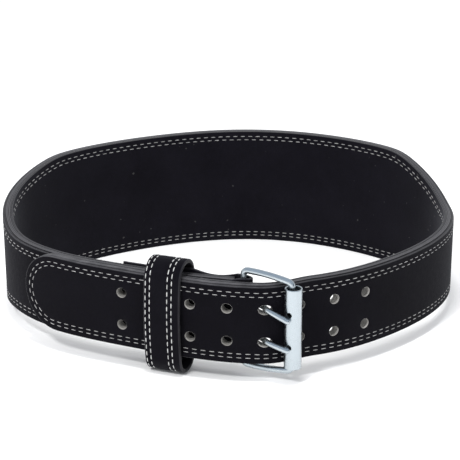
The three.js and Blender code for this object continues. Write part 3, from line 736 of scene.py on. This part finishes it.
strap_layer("outer_leather", "outer_ply", 0, OUTER_PLY, rounded_edge(RIM, 0, OUTER_PLY),
            [NUBUCK, PLY_EDGE, PUNCHED], margin=SHOULDER, flare=HOLE_FLARE, relief=seam_relief)
strap_layer("core_leather", "core_ply", CORE_TOP, CORE_FOOT,
            [(CORE_RIM, CORE_TOP + CORE_SHOULDER), (CORE_BULGE, (CORE_TOP + CORE_FOOT) / 2),
             (CORE_RIM, CORE_FOOT - CORE_SHOULDER)],
            [CORE_EDGE, CORE_EDGE, PUNCHED], margin=CORE_MARGIN, proud=CORE_PROUD)
strap_layer("suede_lining", "inner_ply", INNER_TOP, STRAP_THICKNESS,
            [(RIM, INNER_TOP + 0.05), (RIM, STRAP_THICKNESS - 0.4),
             (0.7 * RIM, STRAP_THICKNESS - 0.12)],
            [SUEDE, PLY_EDGE, PUNCHED, SUEDE], margin=SHOULDER, proud=LINING_PROUD)

# %% [markdown]
# ## The buckle's places
# The hinge bar stands inside the folded tab, and the roller bar crosses over the tongue
# one roller's reach further on. Everything in the buckle is measured from these two.

# %% Hinge, roller and the direction between them
ROLLER_DIAMETER, ROLLER_WALL, ROLLER_LENGTH, ROLLER_DROP = 13.0, 1.2, 62.2, 1.0
FRAME_LIFT, FRAME_SAG, FRAME_HEIGHT, FRAME_NARROWING, FRAME_ARCH = 2.0, 2.8, 78.6, 0.068, 1.2
HINGE_CORNER, ROLLER_CORNER = 3.5, 3.0
NOTCH_DIAMETER, NOTCH_DROP, SEAT_TURN = 4.4, 0.8, 1.5
PRONG_DIAMETER, PRONG_SLACK, EYE_HEIGHT = 4.3, 2.2, 5.0
PRONGS = [("prong_upper", 1, 6.0), ("prong_lower", -1, 3.4)]  # name, row, droop of the tip
UPWARDS = np.array([0.0, 0.0, 1.0])


def direction(vector):
    return vector / np.linalg.norm(vector)


hinge_middle = beside_loop(0, HINGE_OUT, strap_middle(0) + FRAME_LIFT)
roller_out = strap_lift(ROLLER_RUN) + SEAT + ROLLER_DIAMETER / 2
roller_middle = beside_loop(ROLLER_RUN, roller_out, strap_middle(ROLLER_RUN) - ROLLER_DROP)
towards_hinge = direction((hinge_middle - roller_middle) * (1, 1, 0))
bar_push = direction(towards_hinge + outward_at(ROLLER_RUN))
ROLLER_PLAY = ROLLER_DIAMETER / 2 - ROLLER_WALL - WIRE_DIAMETER / 2 - 2 * SEAT
bar_middle = roller_middle + bar_push * ROLLER_PLAY
bar_middle[2] = hinge_middle[2]
FRAME_REACH = np.linalg.norm(bar_middle - hinge_middle)
seat_side = direction(towards_hinge + SEAT_TURN * outward_at(ROLLER_RUN))
print(f"hinge to roller bar: {FRAME_REACH:.1f} mm")

# %% [markdown]
# ## The tab
# One thin strap folds round the hinge bar and grips the belt's end between its legs. It
# is bent along a path seen from above: a short outer leg, the fold and a long inner leg.
# Two slots in the fold let the prongs' eyes through. The sheet's flat length is measured
# along that path, so the slots stay where they were punched.

# %% The tab's path round the hinge
OUTER_LEG_POINTS, FOLD_STEPS, LANDING_POINTS, INNER_LEG_POINTS = 16, 24, 7, 44
OUTER_LEG_FOOT, LANDING_START = 1.5, 0.15
nose = TAB_NOSE - TAB_THICKNESS / 2
inner_gap = SEAT + TAB_THICKNESS / 2 + STRAP_THICKNESS
folded_out = HINGE_OUT - FOLD_HALF
spread = STRAP_START - 2 * SEAT
runs = np.linspace(TAB_OUTER_LEG, OUTER_LEG_FOOT, OUTER_LEG_POINTS)
outer_leg = beside_loop(runs, HINGE_OUT + FOLD_HALF, 0)
turns = np.linspace(0, math.pi, FOLD_STEPS + 1)
fold = beside_loop(-nose * np.sin(turns), HINGE_OUT + FOLD_HALF * np.cos(turns), 0)
shares = np.linspace(LANDING_START, 1, LANDING_POINTS)
to_strap = strap_lift(STRAP_START) - inner_gap - folded_out
landing = beside_loop(spread * shares, folded_out + to_strap * ease(shares), 0)
runs = np.linspace(STRAP_START + 2, TAB_INNER_LEG, INNER_LEG_POINTS)
inner_leg = beside_loop(runs, strap_lift(runs) - inner_gap, 0)
tab_path = np.concatenate([outer_leg, fold, landing, inner_leg])
tab_lengths = lengths_along(tab_path)
tab_headings = np.gradient(tab_path, tab_lengths, axis=0)
tab_headings /= np.linalg.norm(tab_headings, axis=1)[:, None]
fold_marks = len(outer_leg) + np.array([0, FOLD_STEPS // 2, FOLD_STEPS])
FOLD_BEGIN, NOSE_PLACE, FOLD_END = tab_lengths[fold_marks]
print(f"the tab is {tab_lengths[-1]:.0f} mm long before it is folded")

# %% Fold the tab round the hinge
TAB_HALF = FRONT_WIDTH / 2 + TAB_RISE
TAB_EDGE, TAB_LOWER_EDGE = 0.6, 0.5
TAB_WAVES = ((1.4, 2, 8), (-1.6, 22, 13), (2.0, 43, 8))  # height, from the nose, half width


def tab_wave(along, above):
    """The tab's upper edge sags a little beside the keeper and rises at the hinge."""
    from_nose = np.abs(along - NOSE_PLACE) - TAB_NOSE
    wave = sum(height * bell(from_nose - middle, half) for height, middle, half in TAB_WAVES)
    return wave * np.clip(above / TAB_HALF, 0, 1) ** 2


def tab_point(along, above, depth):
    above = above + tab_wave(along, above)
    middle, heading = (np.stack([np.interp(along, tab_lengths, line[:, k]) for k in range(3)], -1)
                       for line in (tab_path, tab_headings))
    heading /= np.linalg.norm(heading, axis=-1)[..., None]
    inwards = np.stack([-heading[..., 1], heading[..., 0], np.zeros(len(heading))], -1)
    height = UPWARDS * (strap_middle(0) + above)[..., None]
    return middle + inwards * (depth - TAB_THICKNESS / 2)[..., None] + height


def tab_rows(along):
    half = TAB_HALF - TAB_EDGE
    upper = [half, half - 0.9, half - 2.2, half - 5, half - 9, 20, 18.5, 16.9, 9.4, 7.4, 4.5, 2.2]
    lower = [-2, -4.5, -6.8, -8.8, -12, -15, -17.5, -20,
             9 - half, 5 - half, 2.2 - half, 0.9 - half, -half]
    return upper + [0.0] + lower


slot_begin = FOLD_BEGIN - (EYE_RADIUS + SEAT)
slot_end = FOLD_END + (EYE_RADIUS + SEAT)
slots = []
for _, row, _ in PRONGS:
    level = float(strap_middle(PINNED_RUN)) + row * HOLE_ROWS / 2 + PRONG_SLACK
    slots.append(((slot_begin + slot_end) / 2, level - float(strap_middle(0)),
                  (slot_end - slot_begin) / 2, EYE_HEIGHT / 2 + 3 * SEAT, 0))
tab_columns = sorted({TAB_EDGE, *np.linspace(3, FOLD_BEGIN - 9, 8),
                      *np.linspace(slot_begin - 1.4, slot_end + 1.4, 34),
                      *np.linspace(slot_end + 4, tab_lengths[-1] - TAB_EDGE, 30)})
tab_sheet = cut_sheet(tab_columns, tab_rows, 0, TAB_THICKNESS,
                      rounded_edge(TAB_EDGE, 0, TAB_THICKNESS, TAB_LOWER_EDGE), slots)
BAND_FINISHES = [STRAPPING, DYED_EDGE, DYED_EDGE, SUEDE]
bend_sheet("buckle_tab_leather", tab_sheet, tab_point, BAND_FINISHES,
           "buckle_tab")

# %% [markdown]
# ## The keeper
# The keeper is a loose band round the tongue and the strap under it. Its path is a
# rectangle with wide round corners, whose outer leg bows out a little, and it stands on
# the floor. Two pairs of seams run round it; between the seams of a pair the leather
# stands a little proud.

# %% The keeper's path round the strap
KEEPER_RUN, KEEPER_WIDTH, KEEPER_HEADROOM = 56.6, 28.5, 8.9
KEEPER_THICKNESS, KEEPER_BEND, KEEPER_BOW = 2.8, 13, 3.0
KEEPER_TOP = float(strap_middle(GIRTH + KEEPER_RUN)) + FRONT_WIDTH / 2
KEEPER_HEIGHT = KEEPER_TOP + KEEPER_HEADROOM + KEEPER_THICKNESS
BEND_STEPS, LEG_STEPS = 12, 16
keeper_facing = outward_at(KEEPER_RUN)
keeper_across = np.array([-keeper_facing[1], keeper_facing[0], 0])
under = KEEPER_RUN + KEEPER_WIDTH * np.linspace(-0.5, 0.5, 5)
start = beside_loop(KEEPER_RUN, 0, 0)
tongue_face = (beside_loop(under, strap_lift(GIRTH + under), 0) - start) @ keeper_facing
front = tongue_face.max() + SEAT + KEEPER_THICKNESS
backing = STRAP_THICKNESS + SEAT + TAB_THICKNESS
tab_face = (beside_loop(under, strap_lift(under) - backing, 0) - start) @ keeper_facing
back = tab_face.min() - SEAT - KEEPER_THICKNESS
keeper_middle = beside_loop(KEEPER_RUN, (front + back) / 2, KEEPER_HEIGHT / 2)


def keeper_outline():
    """The outside of the band from the middle of its inner leg: places and outward ways."""
    side, straight = (front - back) / 2 - KEEPER_BEND, KEEPER_HEIGHT / 2 - KEEPER_BEND
    half_leg = np.linspace(0, straight, LEG_STEPS // 2 + 1)
    line = [(-side - KEEPER_BEND, z, -1, 0) for z in half_leg[:-1]]
    for x, z, first in ((-side, straight, 180), (side, straight, 90),
                        (side, -straight, 0), (-side, -straight, -90)):
        for t in np.linspace(first, first - 90, BEND_STEPS + 1) * DEGREE:
            line.append((x + KEEPER_BEND * math.cos(t), z + KEEPER_BEND * math.sin(t),
                         math.cos(t), math.sin(t)))
        if first == 90:
            line += [(side + KEEPER_BEND, z, 1, 0)
                     for z in np.linspace(straight, -straight, LEG_STEPS + 1)[1:-1]]
    line += [(-side - KEEPER_BEND, -z, -1, 0) for z in half_leg[-2::-1]]
    line = np.array(line)
    bowed = line[:, 0] > 0
    share = line[bowed, 1] / (KEEPER_HEIGHT / 2)
    slope = 6 * KEEPER_BOW / KEEPER_HEIGHT * share * (1 - share ** 2) ** 0.5
    line[bowed, 0] += KEEPER_BOW * (1 - share ** 2) ** 1.5
    line[bowed, 3] += line[bowed, 2] * slope
    line[:, 2:] /= np.linalg.norm(line[:, 2:], axis=1)[:, None]
    return line


keeper_line = keeper_outline()
keeper_lengths = lengths_along(keeper_line[:, :2])
print(f"the keeper is cut {keeper_lengths[-1]:.0f} mm long and stands {KEEPER_HEIGHT:.1f} mm high")

# %% Bend the keeper
KEEPER_SEAMS = (1.6, 4.9, 18.8, 22.2)  # from its left edge, as the rows are
KEEPER_WELTS = (3.2, 20.5)
KEEPER_CHANNEL, KEEPER_CHANNEL_HALF = 0.30, 0.7
KEEPER_WELT, KEEPER_WELT_HALF = 0.15, 1.3
KEEPER_EDGE, KEEPER_LOWER_EDGE = 0.9, 0.8
KEEPER_JOINT = 0.12  # half the gap where the band's ends meet
KEEPER_ROWS = (27.6, 26.4, 25, 23.6, 22.9, 22.2, 21.5, 20.5, 19.5, 18.8, 18.1, 17, 15,
               12.5, 10, 8, 6.4, 5.6, 4.9, 4.2, 3.2, 2.3, 1.6, 0.9)


def keeper_point(along, across, depth):
    x, z, way_x, way_z = (np.interp(along, keeper_lengths, keeper_line[:, k]) for k in range(4))
    size = np.hypot(way_x, way_z)
    x, z = x - depth * way_x / size, z - depth * way_z / size
    return (keeper_middle + x[..., None] * keeper_facing + z[..., None] * UPWARDS
            + across[..., None] * keeper_across)


def keeper_relief(along, across):
    left = across + KEEPER_WIDTH / 2
    channels = sum(bell(left - seam, KEEPER_CHANNEL_HALF) for seam in KEEPER_SEAMS)
    welts = sum(bell(left - middle, KEEPER_WELT_HALF) for middle in KEEPER_WELTS)
    return KEEPER_WELT * welts - KEEPER_CHANNEL * channels


keeper_rows = [v - KEEPER_WIDTH / 2 for v in KEEPER_ROWS]
keeper_columns = [KEEPER_JOINT, *keeper_lengths[1:-1], keeper_lengths[-1] - KEEPER_JOINT]
keeper_sheet = cut_sheet(
    keeper_columns, lambda along: keeper_rows, 0, KEEPER_THICKNESS,
    rounded_edge(KEEPER_EDGE, 0, KEEPER_THICKNESS, KEEPER_LOWER_EDGE), relief=keeper_relief)
keeper_sheet[0][:, 0] = keeper_sheet[0][:, 0].clip(keeper_columns[0], keeper_columns[-1])
bend_sheet("keeper_band", keeper_sheet, keeper_point, BAND_FINISHES,
           "keeper_loop")

# %% [markdown]
# ## Seams
# Every seam is a row of single stitches. The needle goes down at both ends of a stitch,
# so its ends sink into the leather and its middle stands up a little. Painting stitches
# in the colour would be lighter, but thread that really stands up catches the light the
# way the real seam does. A stitch is a short bent capsule laid along its seam.

# %% Lay stitches along a seam
STITCH_RINGS, STITCH_SIDES = 5, 6
END_SIZE, END_TAPER = 0.55, 0.6  # how thick its ends are, and how soon it is full
END_DIP, DIP_TAPER, SUNK = 0.55, 0.4, 0.1  # how deep its ends go, how soon, and its middle


def stitches(paths, bend, surface, side):
    """Stitches along flat paths. side is -1 where outwards lowers the depth.

    paths are (points, share of a pitch to start at, pitch, length, radius).
    """
    flat, faces, uv = [], [], []
    for path, shift, pitch, length, radius in paths:
        path = np.array(path, float)
        walked = lengths_along(bend(path[:, 0], path[:, 1], np.full(len(path), float(surface))))

        def at(place):
            return np.interp(place, walked, path[:, 0]), np.interp(place, walked, path[:, 1])

        for number in range(int((walked[-1] - pitch * shift) // pitch)):
            rings = numbered_rings(STITCH_RINGS, STITCH_SIDES, len(flat))
            for ring in range(STITCH_RINGS):
                share = ring / (STITCH_RINGS - 1)
                place = pitch * (number + shift) + length * share
                (u, v), (u1, v1), (u0, v0) = at(place), at(place + 0.5), at(place - 0.5)
                size = math.hypot(u1 - u0, v1 - v0) or 1.0
                swell = END_SIZE + (1 - END_SIZE) * math.sin(math.pi * share) ** END_TAPER
                sink = END_DIP * (1 - math.sin(math.pi * share) ** DIP_TAPER) + SUNK
                for turn in even_turns(STITCH_SIDES):
                    aside = radius * swell * math.cos(turn)
                    rise = radius * swell * math.sin(turn) - sink
                    flat.append((u - (v1 - v0) / size * aside, v + (u1 - u0) / size * aside,
                                 surface + side * rise))
                    uv.append((length * share, turn * radius))
            faces += tube_faces(rings) + [tuple(reversed(rings[0])), tuple(rings[-1])]
    return settle(bend(*np.array(flat).T)), faces, np.array(uv)


def stitch_piece(name, paths, bend, surface, side, material):
    points, faces, uv = stitches(paths, bend, surface, side)
    make_piece(name, points, faces, [material], np.zeros(len(faces), int),
               np.column_stack([uv, np.zeros(len(uv))]), smooth_angle=70)


# %% [markdown]
# ## Where the seams run
# Two seams follow the strap's edge all the way: along the top, round the tip and back
# along the bottom. They show on both faces. The keeper has its own four, in a thicker
# thread. Neighbouring seams start half a stitch apart, as a two-needle machine sews them.

# %% Sew the strap and the keeper
STITCH_PITCH, STITCH_LENGTH, THREAD_RADIUS = 6.7, 5.9, 0.40
KEEPER_PITCH, KEEPER_STITCH, KEEPER_THREAD_RADIUS = 5.6, 5.0, 0.46
OUTER_LAY, KEEPER_LAY = 0.16, 0.12  # depth of the channels that the thread lies in


def inset_path(inset):
    """One seam: along the upper edge, round the tip and back along the lower edge."""
    runs = np.arange(STRAP_START + 2, STRAIGHT_END, 2.0)
    upper = [(run, float(half_width(run)) - inset) for run in runs]
    reach = TIP_RADIUS - inset
    tip = [(STRAIGHT_END + reach * math.cos(t), reach * math.sin(t))
           for t in np.linspace(90, -90, 40) * DEGREE]
    return upper + tip + [(run, -above) for run, above in reversed(upper)]


strap_seams = [(inset_path(inset), shift, STITCH_PITCH, STITCH_LENGTH, THREAD_RADIUS)
               for inset, shift in zip(SEAM_INSETS, (0.0, 0.5))]
stitch_piece("outer_stitches", strap_seams, strap_point, OUTER_LAY, -1, THREAD)
stitch_piece("inner_stitches", strap_seams, strap_point, STRAP_THICKNESS, 1, THREAD)
keeper_seams = []
for seam, shift in zip(KEEPER_SEAMS, (0.0, 0.5, 0.1, 0.6)):
    path = [(u, seam - KEEPER_WIDTH / 2) for u in np.arange(2, keeper_lengths[-1] - 2, 1.0)]
    keeper_seams.append((path, shift, KEEPER_PITCH, KEEPER_STITCH, KEEPER_THREAD_RADIUS))
stitch_piece("keeper_stitches", keeper_seams, keeper_point, KEEPER_LAY, -1, KEEPER_THREAD)
print(f"cut flat, the strap is {STRAP_END - STRAP_START:.0f} mm long")

# %% [markdown]
# ## Steel wire parts
# The frame, the prongs and their eyes are round wire. A circle carried along a line makes
# them, with the line bent the way the wire is. A modifier on a curve would give the same
# shape, but a mesh made here keeps its size exactly and needs nothing else.

# %% Carry a circle along a line
DOME_LEVELS = (0.4, 0.75, 0.95)  # rings of a domed end, in radii from its foot


def circle(middle, radius, side, other, steps):
    return [middle + radius * (math.cos(t) * side + math.sin(t) * other)
            for t in even_turns(steps)]


def swept(line, radius, sides=24, closed=False, ups=UPWARDS):
    """A round bar along points. Closed bars join up, open ones get domed ends."""
    line = np.asarray(line, float)
    if closed:
        ahead, behind = np.roll(line, -1, 0), np.roll(line, 1, 0)
    else:
        ahead = np.concatenate([line[1:], [2 * line[-1] - line[-2]]])
        behind = np.concatenate([[2 * line[0] - line[1]], line[:-1]])
    headings = [direction(step) for step in ahead - behind]
    points = []
    for middle, heading in zip(line, headings):
        side = direction(np.cross(heading, ups))
        points += circle(middle, radius, side, np.cross(heading, side), sides)
    rings = numbered_rings(len(line), sides)
    if closed:
        return points, tube_faces(rings + rings[:1])
    faces = tube_faces(rings)
    for end, way in ((0, -1), (-1, 1)):
        middle, heading = line[end], headings[end] * way
        dome = [rings[end]]
        for level in DOME_LEVELS:
            dome += numbered_rings(1, sides, len(points))
            shrink = math.sqrt(1 - level * level)
            points += [middle + (points[k] - middle) * shrink + heading * radius * level
                       for k in rings[end]]
        points.append(middle + heading * radius)
        tip = [len(points) - 1] * sides
        faces += tube_faces(dome) + [tuple(face[:3]) for face in tube_faces([dome[-1], tip])]
    return points, faces


def turned(profile, origin, axis, steps=28):
    """A turned shape from (radius, place on the axis). One that starts off the axis is a ring."""
    side = direction(np.cross(axis, UPWARDS) if abs(axis[2]) < 0.9 else np.array([1.0, 0, 0]))
    other = np.cross(axis, side)
    points = [point for radius, along in profile
              for point in circle(origin + axis * along, radius, side, other, steps)]
    rings = numbered_rings(len(profile), steps)
    return points, tube_faces(rings + rings[:1] if profile[0][0] else rings)


# %% [markdown]
# ## The frame
# The frame is one closed wire with four bends: the hinge bar, two arms and the bar that
# carries the roller. It is bent as a flat loop first, then the arms are arched a little,
# and the roller's end is narrower and hangs lower, as the photographed one does.

# %% Bend the frame
ARC_POINTS, SIDE_POINTS = 10, 15


def frame_line():
    half = FRAME_HEIGHT / 2 - WIRE_DIAMETER / 2
    far = FRAME_REACH - ROLLER_CORNER
    corners = ((far, half - ROLLER_CORNER, ROLLER_CORNER),
               (HINGE_CORNER, half - HINGE_CORNER, HINGE_CORNER),
               (HINGE_CORNER, HINGE_CORNER - half, HINGE_CORNER),
               (far, ROLLER_CORNER - half, ROLLER_CORNER))
    arcs = []
    for quarter, (x, z, bend) in enumerate(corners):
        turns = np.linspace(90 * quarter, 90 * quarter + 90, ARC_POINTS) * DEGREE
        arcs.append([(x + bend * math.cos(t), z + bend * math.sin(t)) for t in turns])
    line = []
    for arc, following in zip(arcs, arcs[1:] + arcs[:1]):
        line += arc + list(np.linspace(arc[-1], following[0], SIDE_POINTS)[1:-1])
    bent = []
    for across, up in line:
        share = across / FRAME_REACH
        on_arm = abs(up) > half - HINGE_CORNER
        arch = FRAME_ARCH * 4 * share * (1 - share) * (math.copysign(1, up) if on_arm else 0)
        rise = up * (1 - FRAME_NARROWING * share) + arch - FRAME_SAG * share
        bent.append(hinge_middle - towards_hinge * across + UPWARDS * rise)
    return bent


wire_side = np.cross(towards_hinge, UPWARDS)
points, faces = swept(frame_line(), WIRE_DIAMETER / 2, closed=True, ups=wire_side)
make_piece("wire_frame", settle(points), faces, [ZINC], replaces="buckle_frame")

# %% [markdown]
# ## Prongs
# Each prong hooks round the hinge bar with an eye, comes out through its hole in the
# tongue and lies with its tip on the roller. A smooth curve through four places says it.

# %% Prongs with their eyes
CURVE_STEPS, EYE_POINTS, EYE_FLATNESS = 12, 14, 0.7
HOLE_DROOP = 1 / 8  # how much of its tip's droop a prong has at its hole


def smooth_through(points):
    """A centripetal curve through a few points."""
    points = [2 * points[0] - points[1], *points, 2 * points[-1] - points[-2]]
    line = []
    for k in range(1, len(points) - 2):
        p0, p1, p2, p3 = points[k - 1:k + 3]
        t0, t1, t2 = (np.linalg.norm(b - a) ** 0.5 for a, b in ((p0, p1), (p1, p2), (p2, p3)))
        m1 = ((p1 - p0) / t0 - (p2 - p0) / (t0 + t1) + (p2 - p1) / t1) * t1
        m2 = ((p2 - p1) / t1 - (p3 - p1) / (t1 + t2) + (p3 - p2) / t2) * t1
        for t in np.linspace(0, 1, CURVE_STEPS, endpoint=False):
            line.append((2 * t**3 - 3 * t**2 + 1) * p1 + (t**3 - 2 * t**2 + t) * m1
                        + (3 * t**2 - 2 * t**3) * p2 + (t**3 - t**2) * m2)
    return line + [points[-2]]


lean = PRONG_DIAMETER / 2
rest = ROLLER_DIAMETER / 2 + SEAT + PRONG_DIAMETER / 2
bore = EYE_RADIUS - EYE_WALL
eye_profile = []
for t in np.linspace(0, 2 * math.pi, EYE_POINTS, endpoint=False):
    rise = math.copysign(abs(math.sin(t)) ** EYE_FLATNESS, math.sin(t))
    eye_profile.append((bore + EYE_WALL / 2 * (1 + math.cos(t)), EYE_HEIGHT / 2 * rise))
for name, row, droop in PRONGS:
    hole = row * HOLE_ROWS / 2
    level = float(strap_middle(PINNED_RUN)) + hole
    eye = hinge_middle * (1, 1, 0) + UPWARDS * (level + PRONG_SLACK)
    inner = strap_point(PINNED_RUN + lean, hole, STRAP_THICKNESS)
    outer = strap_point(PINNED_RUN - lean, hole, 0) * (1, 1, 0)
    outer += UPWARDS * (level - droop * HOLE_DROOP)
    tip = (roller_middle + seat_side * rest) * (1, 1, 0) + UPWARDS * (level - droop)
    begin = eye + (inner - eye) * (EYE_RADIUS - EYE_WALL / 2) / np.linalg.norm(inner - eye)
    points, faces = swept(smooth_through([begin, inner, outer, tip]), PRONG_DIAMETER / 2, sides=20)
    eye_points, eye_faces = turned(eye_profile, eye, UPWARDS)
    faces += [tuple(len(points) + k for k in face) for face in eye_faces]
    make_piece(name + "_wire", settle(points + eye_points), faces, [ZINC],
               replaces=name, smooth_angle=50)

# %% [markdown]
# ## The roller
# The roller is sheet steel rolled into a tube, with a fine seam on the hidden side. Two
# round seats are punched for the prongs. It is cut flat and rolled, like the leather.

# %% Roll the roller
ROLLER_RADIUS = ROLLER_DIAMETER / 2
ROLLER_SEAM, ROLLER_EDGE, ROLLER_COLUMNS = 0.05, 0.35, 61
ROLLER_HALF_ROUND = 2 * math.pi * ROLLER_RADIUS / 2 - ROLLER_SEAM
roller_across = np.cross(UPWARDS, seat_side)


def roller_point(around, up, depth):
    turn = around / ROLLER_RADIUS
    reach = ROLLER_RADIUS - depth
    return (roller_middle + (reach * np.cos(turn))[:, None] * seat_side
            + (reach * np.sin(turn))[:, None] * roller_across + up[:, None] * UPWARDS)


half = ROLLER_LENGTH / 2
notch_rows = [row * HOLE_ROWS / 2 - NOTCH_DROP for row in (1, -1)]
beside_notch = (4.2, 2.9, 1.4, 0, -1.4, -2.9, -4.2)
roller_rows = [half - ROLLER_EDGE, half - 1, half - 4, half - 9]
roller_rows += [notch_rows[0] + s for s in beside_notch] + [4, 0, -4]
roller_rows += [notch_rows[1] + s for s in beside_notch]
roller_rows += [9 - half, 4 - half, 1 - half, ROLLER_EDGE - half]
roller_sheet = cut_sheet(
    list(np.linspace(-ROLLER_HALF_ROUND, ROLLER_HALF_ROUND, ROLLER_COLUMNS)), lambda u: roller_rows,
    0, ROLLER_WALL, rounded_edge(ROLLER_EDGE, 0, ROLLER_WALL, ROLLER_EDGE),
    [(0.0, middle, NOTCH_DIAMETER / 2, NOTCH_DIAMETER / 2, 0) for middle in notch_rows])
roller_sheet[0][:, 0] = roller_sheet[0][:, 0].clip(-ROLLER_HALF_ROUND, ROLLER_HALF_ROUND)
bend_sheet("rolled_roller", roller_sheet, roller_point, [ZINC], "buckle_roller")

# %% [markdown]
# ## Rivets
# Two rivets clinch the tab's legs with the strap between them. Each is turned on its own
# axis from one profile: a low dome outside, the shank and a flatter head inside. A sphere
# and two discs would look alike from afar, but they would not be one closed piece.

# %% Rivets with domed heads
RIVET_RUN, RIVET_ROWS, RIVET_SHANK, RIVET_HEAD, RIVET_HEAD_HEIGHT = 18, 36, 4.0, 9.0, 1.2
DOME = ((0, 0.3), (0.4, 0.27), (0.75, 0.15), (0.95, -0.05), (1, -0.4))  # head radii, mm up
FOOT = ((0.8, 0.85), (0.4, 0.97), (0, 1))  # head radii, head heights down
for name, row in (("rivet_upper", 1), ("rivet_lower", -1)):
    height = float(strap_middle(RIVET_RUN)) + row * RIVET_ROWS / 2
    top = HINGE_OUT + FOLD_HALF + TAB_THICKNESS / 2
    foot = float(strap_lift(RIVET_RUN)) - STRAP_THICKNESS - 2 * SEAT - TAB_THICKNESS
    head = RIVET_HEAD / 2
    profile = [(share * head, top + up) for share, up in DOME]
    profile += [(0.8 * head, top - RIVET_HEAD_HEIGHT),
                (RIVET_SHANK / 2, top - RIVET_HEAD_HEIGHT - 0.1), (RIVET_SHANK / 2, foot),
                (0.95 * head, foot), (head, foot - 0.4)]
    profile += [(share * head, foot - down * RIVET_HEAD_HEIGHT) for share, down in FOOT]
    points, faces = turned(profile, beside_loop(RIVET_RUN, 0, height), outward_at(RIVET_RUN))
    make_piece(name + "_dome", settle(points), faces, [ZINC], replaces=name,
               smooth_angle=40)

# %% [markdown]
# ## Floor and light
# The belt stands on a plain white floor, as in a shop picture. Two small high lamps, the
# brighter one from the front left, throw its shadows back and to the right, and a pale
# sky fills them. Zinc shows what stands around it more than it shows the lamps, so a dark
# card on the right and a grey one overhead are there for reflections alone. Lamps that
# shine in the metal would be simpler, but they turn the thin wire white.

# %% Sky, floor, lamps and cards
SKY = [  # height of the look, colour
    (0.0, grey(1)),
    (0.05, grey(1)),
    (0.28, (0.42, 0.44, 0.47, 1)),
    (0.6, (0.60, 0.61, 0.63, 1)),
    (1.0, grey(1)),
]
SKY_STRENGTH = 1.4

world = bpy.data.worlds.new("studio")
bpy.context.scene.world = world
world.use_nodes = True
sky = world.node_tree
split = sky.nodes.new("ShaderNodeSeparateXYZ")
fill(sky, split, {"Vector": sky.nodes.new("ShaderNodeTexCoord").outputs["Generated"]})
fill(sky, sky.nodes["Background"], {"Color": ramp(sky, split.outputs["Z"], SKY),
                                    "Strength": SKY_STRENGTH})


def card(name, corners, finish, looks):
    """A flat sheet that belongs to the stage, not to the belt."""
    mesh = bpy.data.meshes.new(name)
    mesh.from_pydata(corners, [], [(0, 1, 2, 3)])
    sheet = bpy.data.objects.new(name, mesh)
    belt_collection.objects.link(sheet)
    material, tree, shader = new_material(finish)
    fill(tree, shader, looks)
    mesh.materials.append(material)
    return sheet


def soft_light(name, place, aim, size, power):
    light = bpy.data.lights.new(name, "AREA")
    light.shape, light.size, light.energy = "SQUARE", size, power
    lamp = bpy.data.objects.new(name, light)
    lamp.location = place
    lamp.visible_glossy = False
    way = np.array(aim) - np.array(place)
    tilt = math.atan2(math.hypot(way[0], way[1]), -way[2])
    lamp.rotation_euler = (tilt, 0, math.atan2(-way[0], way[1]))
    belt_collection.objects.link(lamp)


card("floor", [(-6, -6, 0), (6, -6, 0), (6, 6, 0), (-6, 6, 0)], "white_floor",
     {"Base Color": grey(0.93), "Roughness": 0.9})
soft_light("key", (-0.60, -1.05, 1.45), (0, 0, 0.02), 0.25, 17)
soft_light("overhead", (0.0, -0.35, 1.5), (0, -0.05, 0), 0.22, 9)
for reflected in (
    card("dark_flag",
         [(0.75, -1.3, 0.02), (1.15, -0.2, 0.02), (1.15, -0.2, 0.9), (0.75, -1.3, 0.9)],
         "dark_card", {"Base Color": (0.03, 0.05, 0.09, 1), "Roughness": 0.9}),
    card("grey_hood",
         [(-0.9, -1.0, 0.36), (0.9, -1.0, 0.36), (0.9, 0.5, 0.9), (-0.9, 0.5, 0.9)],
         "grey_card", {"Base Color": (0.10, 0.12, 0.15, 1),
                       "Emission Color": (0.36, 0.41, 0.47, 1), "Emission Strength": 1.0}),
):
    reflected.visible_diffuse = reflected.visible_shadow = reflected.visible_camera = False

# %% [markdown]
# ## The camera
# The photograph was taken from straight ahead with a long lens, looking a little down at
# the buckle. The numbers come from fitting the belt's outline to the photograph, and the
# lens shifts stand in for how it was cropped. The view is left plain, without a film
# curve, so that black leather stays black.

# %% Camera
CAMERA_ELEVATION = 20.57 * DEGREE
CAMERA_DISTANCE = 1.2458
TARGET = np.array([0.003682, 0.009683, 0.040])

lens = bpy.data.cameras.new("photo_camera")
lens.lens, lens.sensor_width, lens.sensor_height, lens.sensor_fit = 117.92, 36, 36, "HORIZONTAL"
lens.shift_x, lens.shift_y = -0.0085, 0.0521
lens.clip_start, lens.clip_end = 0.05, 50
camera = bpy.data.objects.new("photo_camera", lens)
looking = np.array([0, math.cos(CAMERA_ELEVATION), -math.sin(CAMERA_ELEVATION)])
camera.location = TARGET - looking * CAMERA_DISTANCE
camera.rotation_euler = (math.pi / 2 - CAMERA_ELEVATION, 0, 0)
belt_collection.objects.link(camera)
bpy.context.scene.camera = camera
bpy.context.scene.view_settings.view_transform = "Standard"
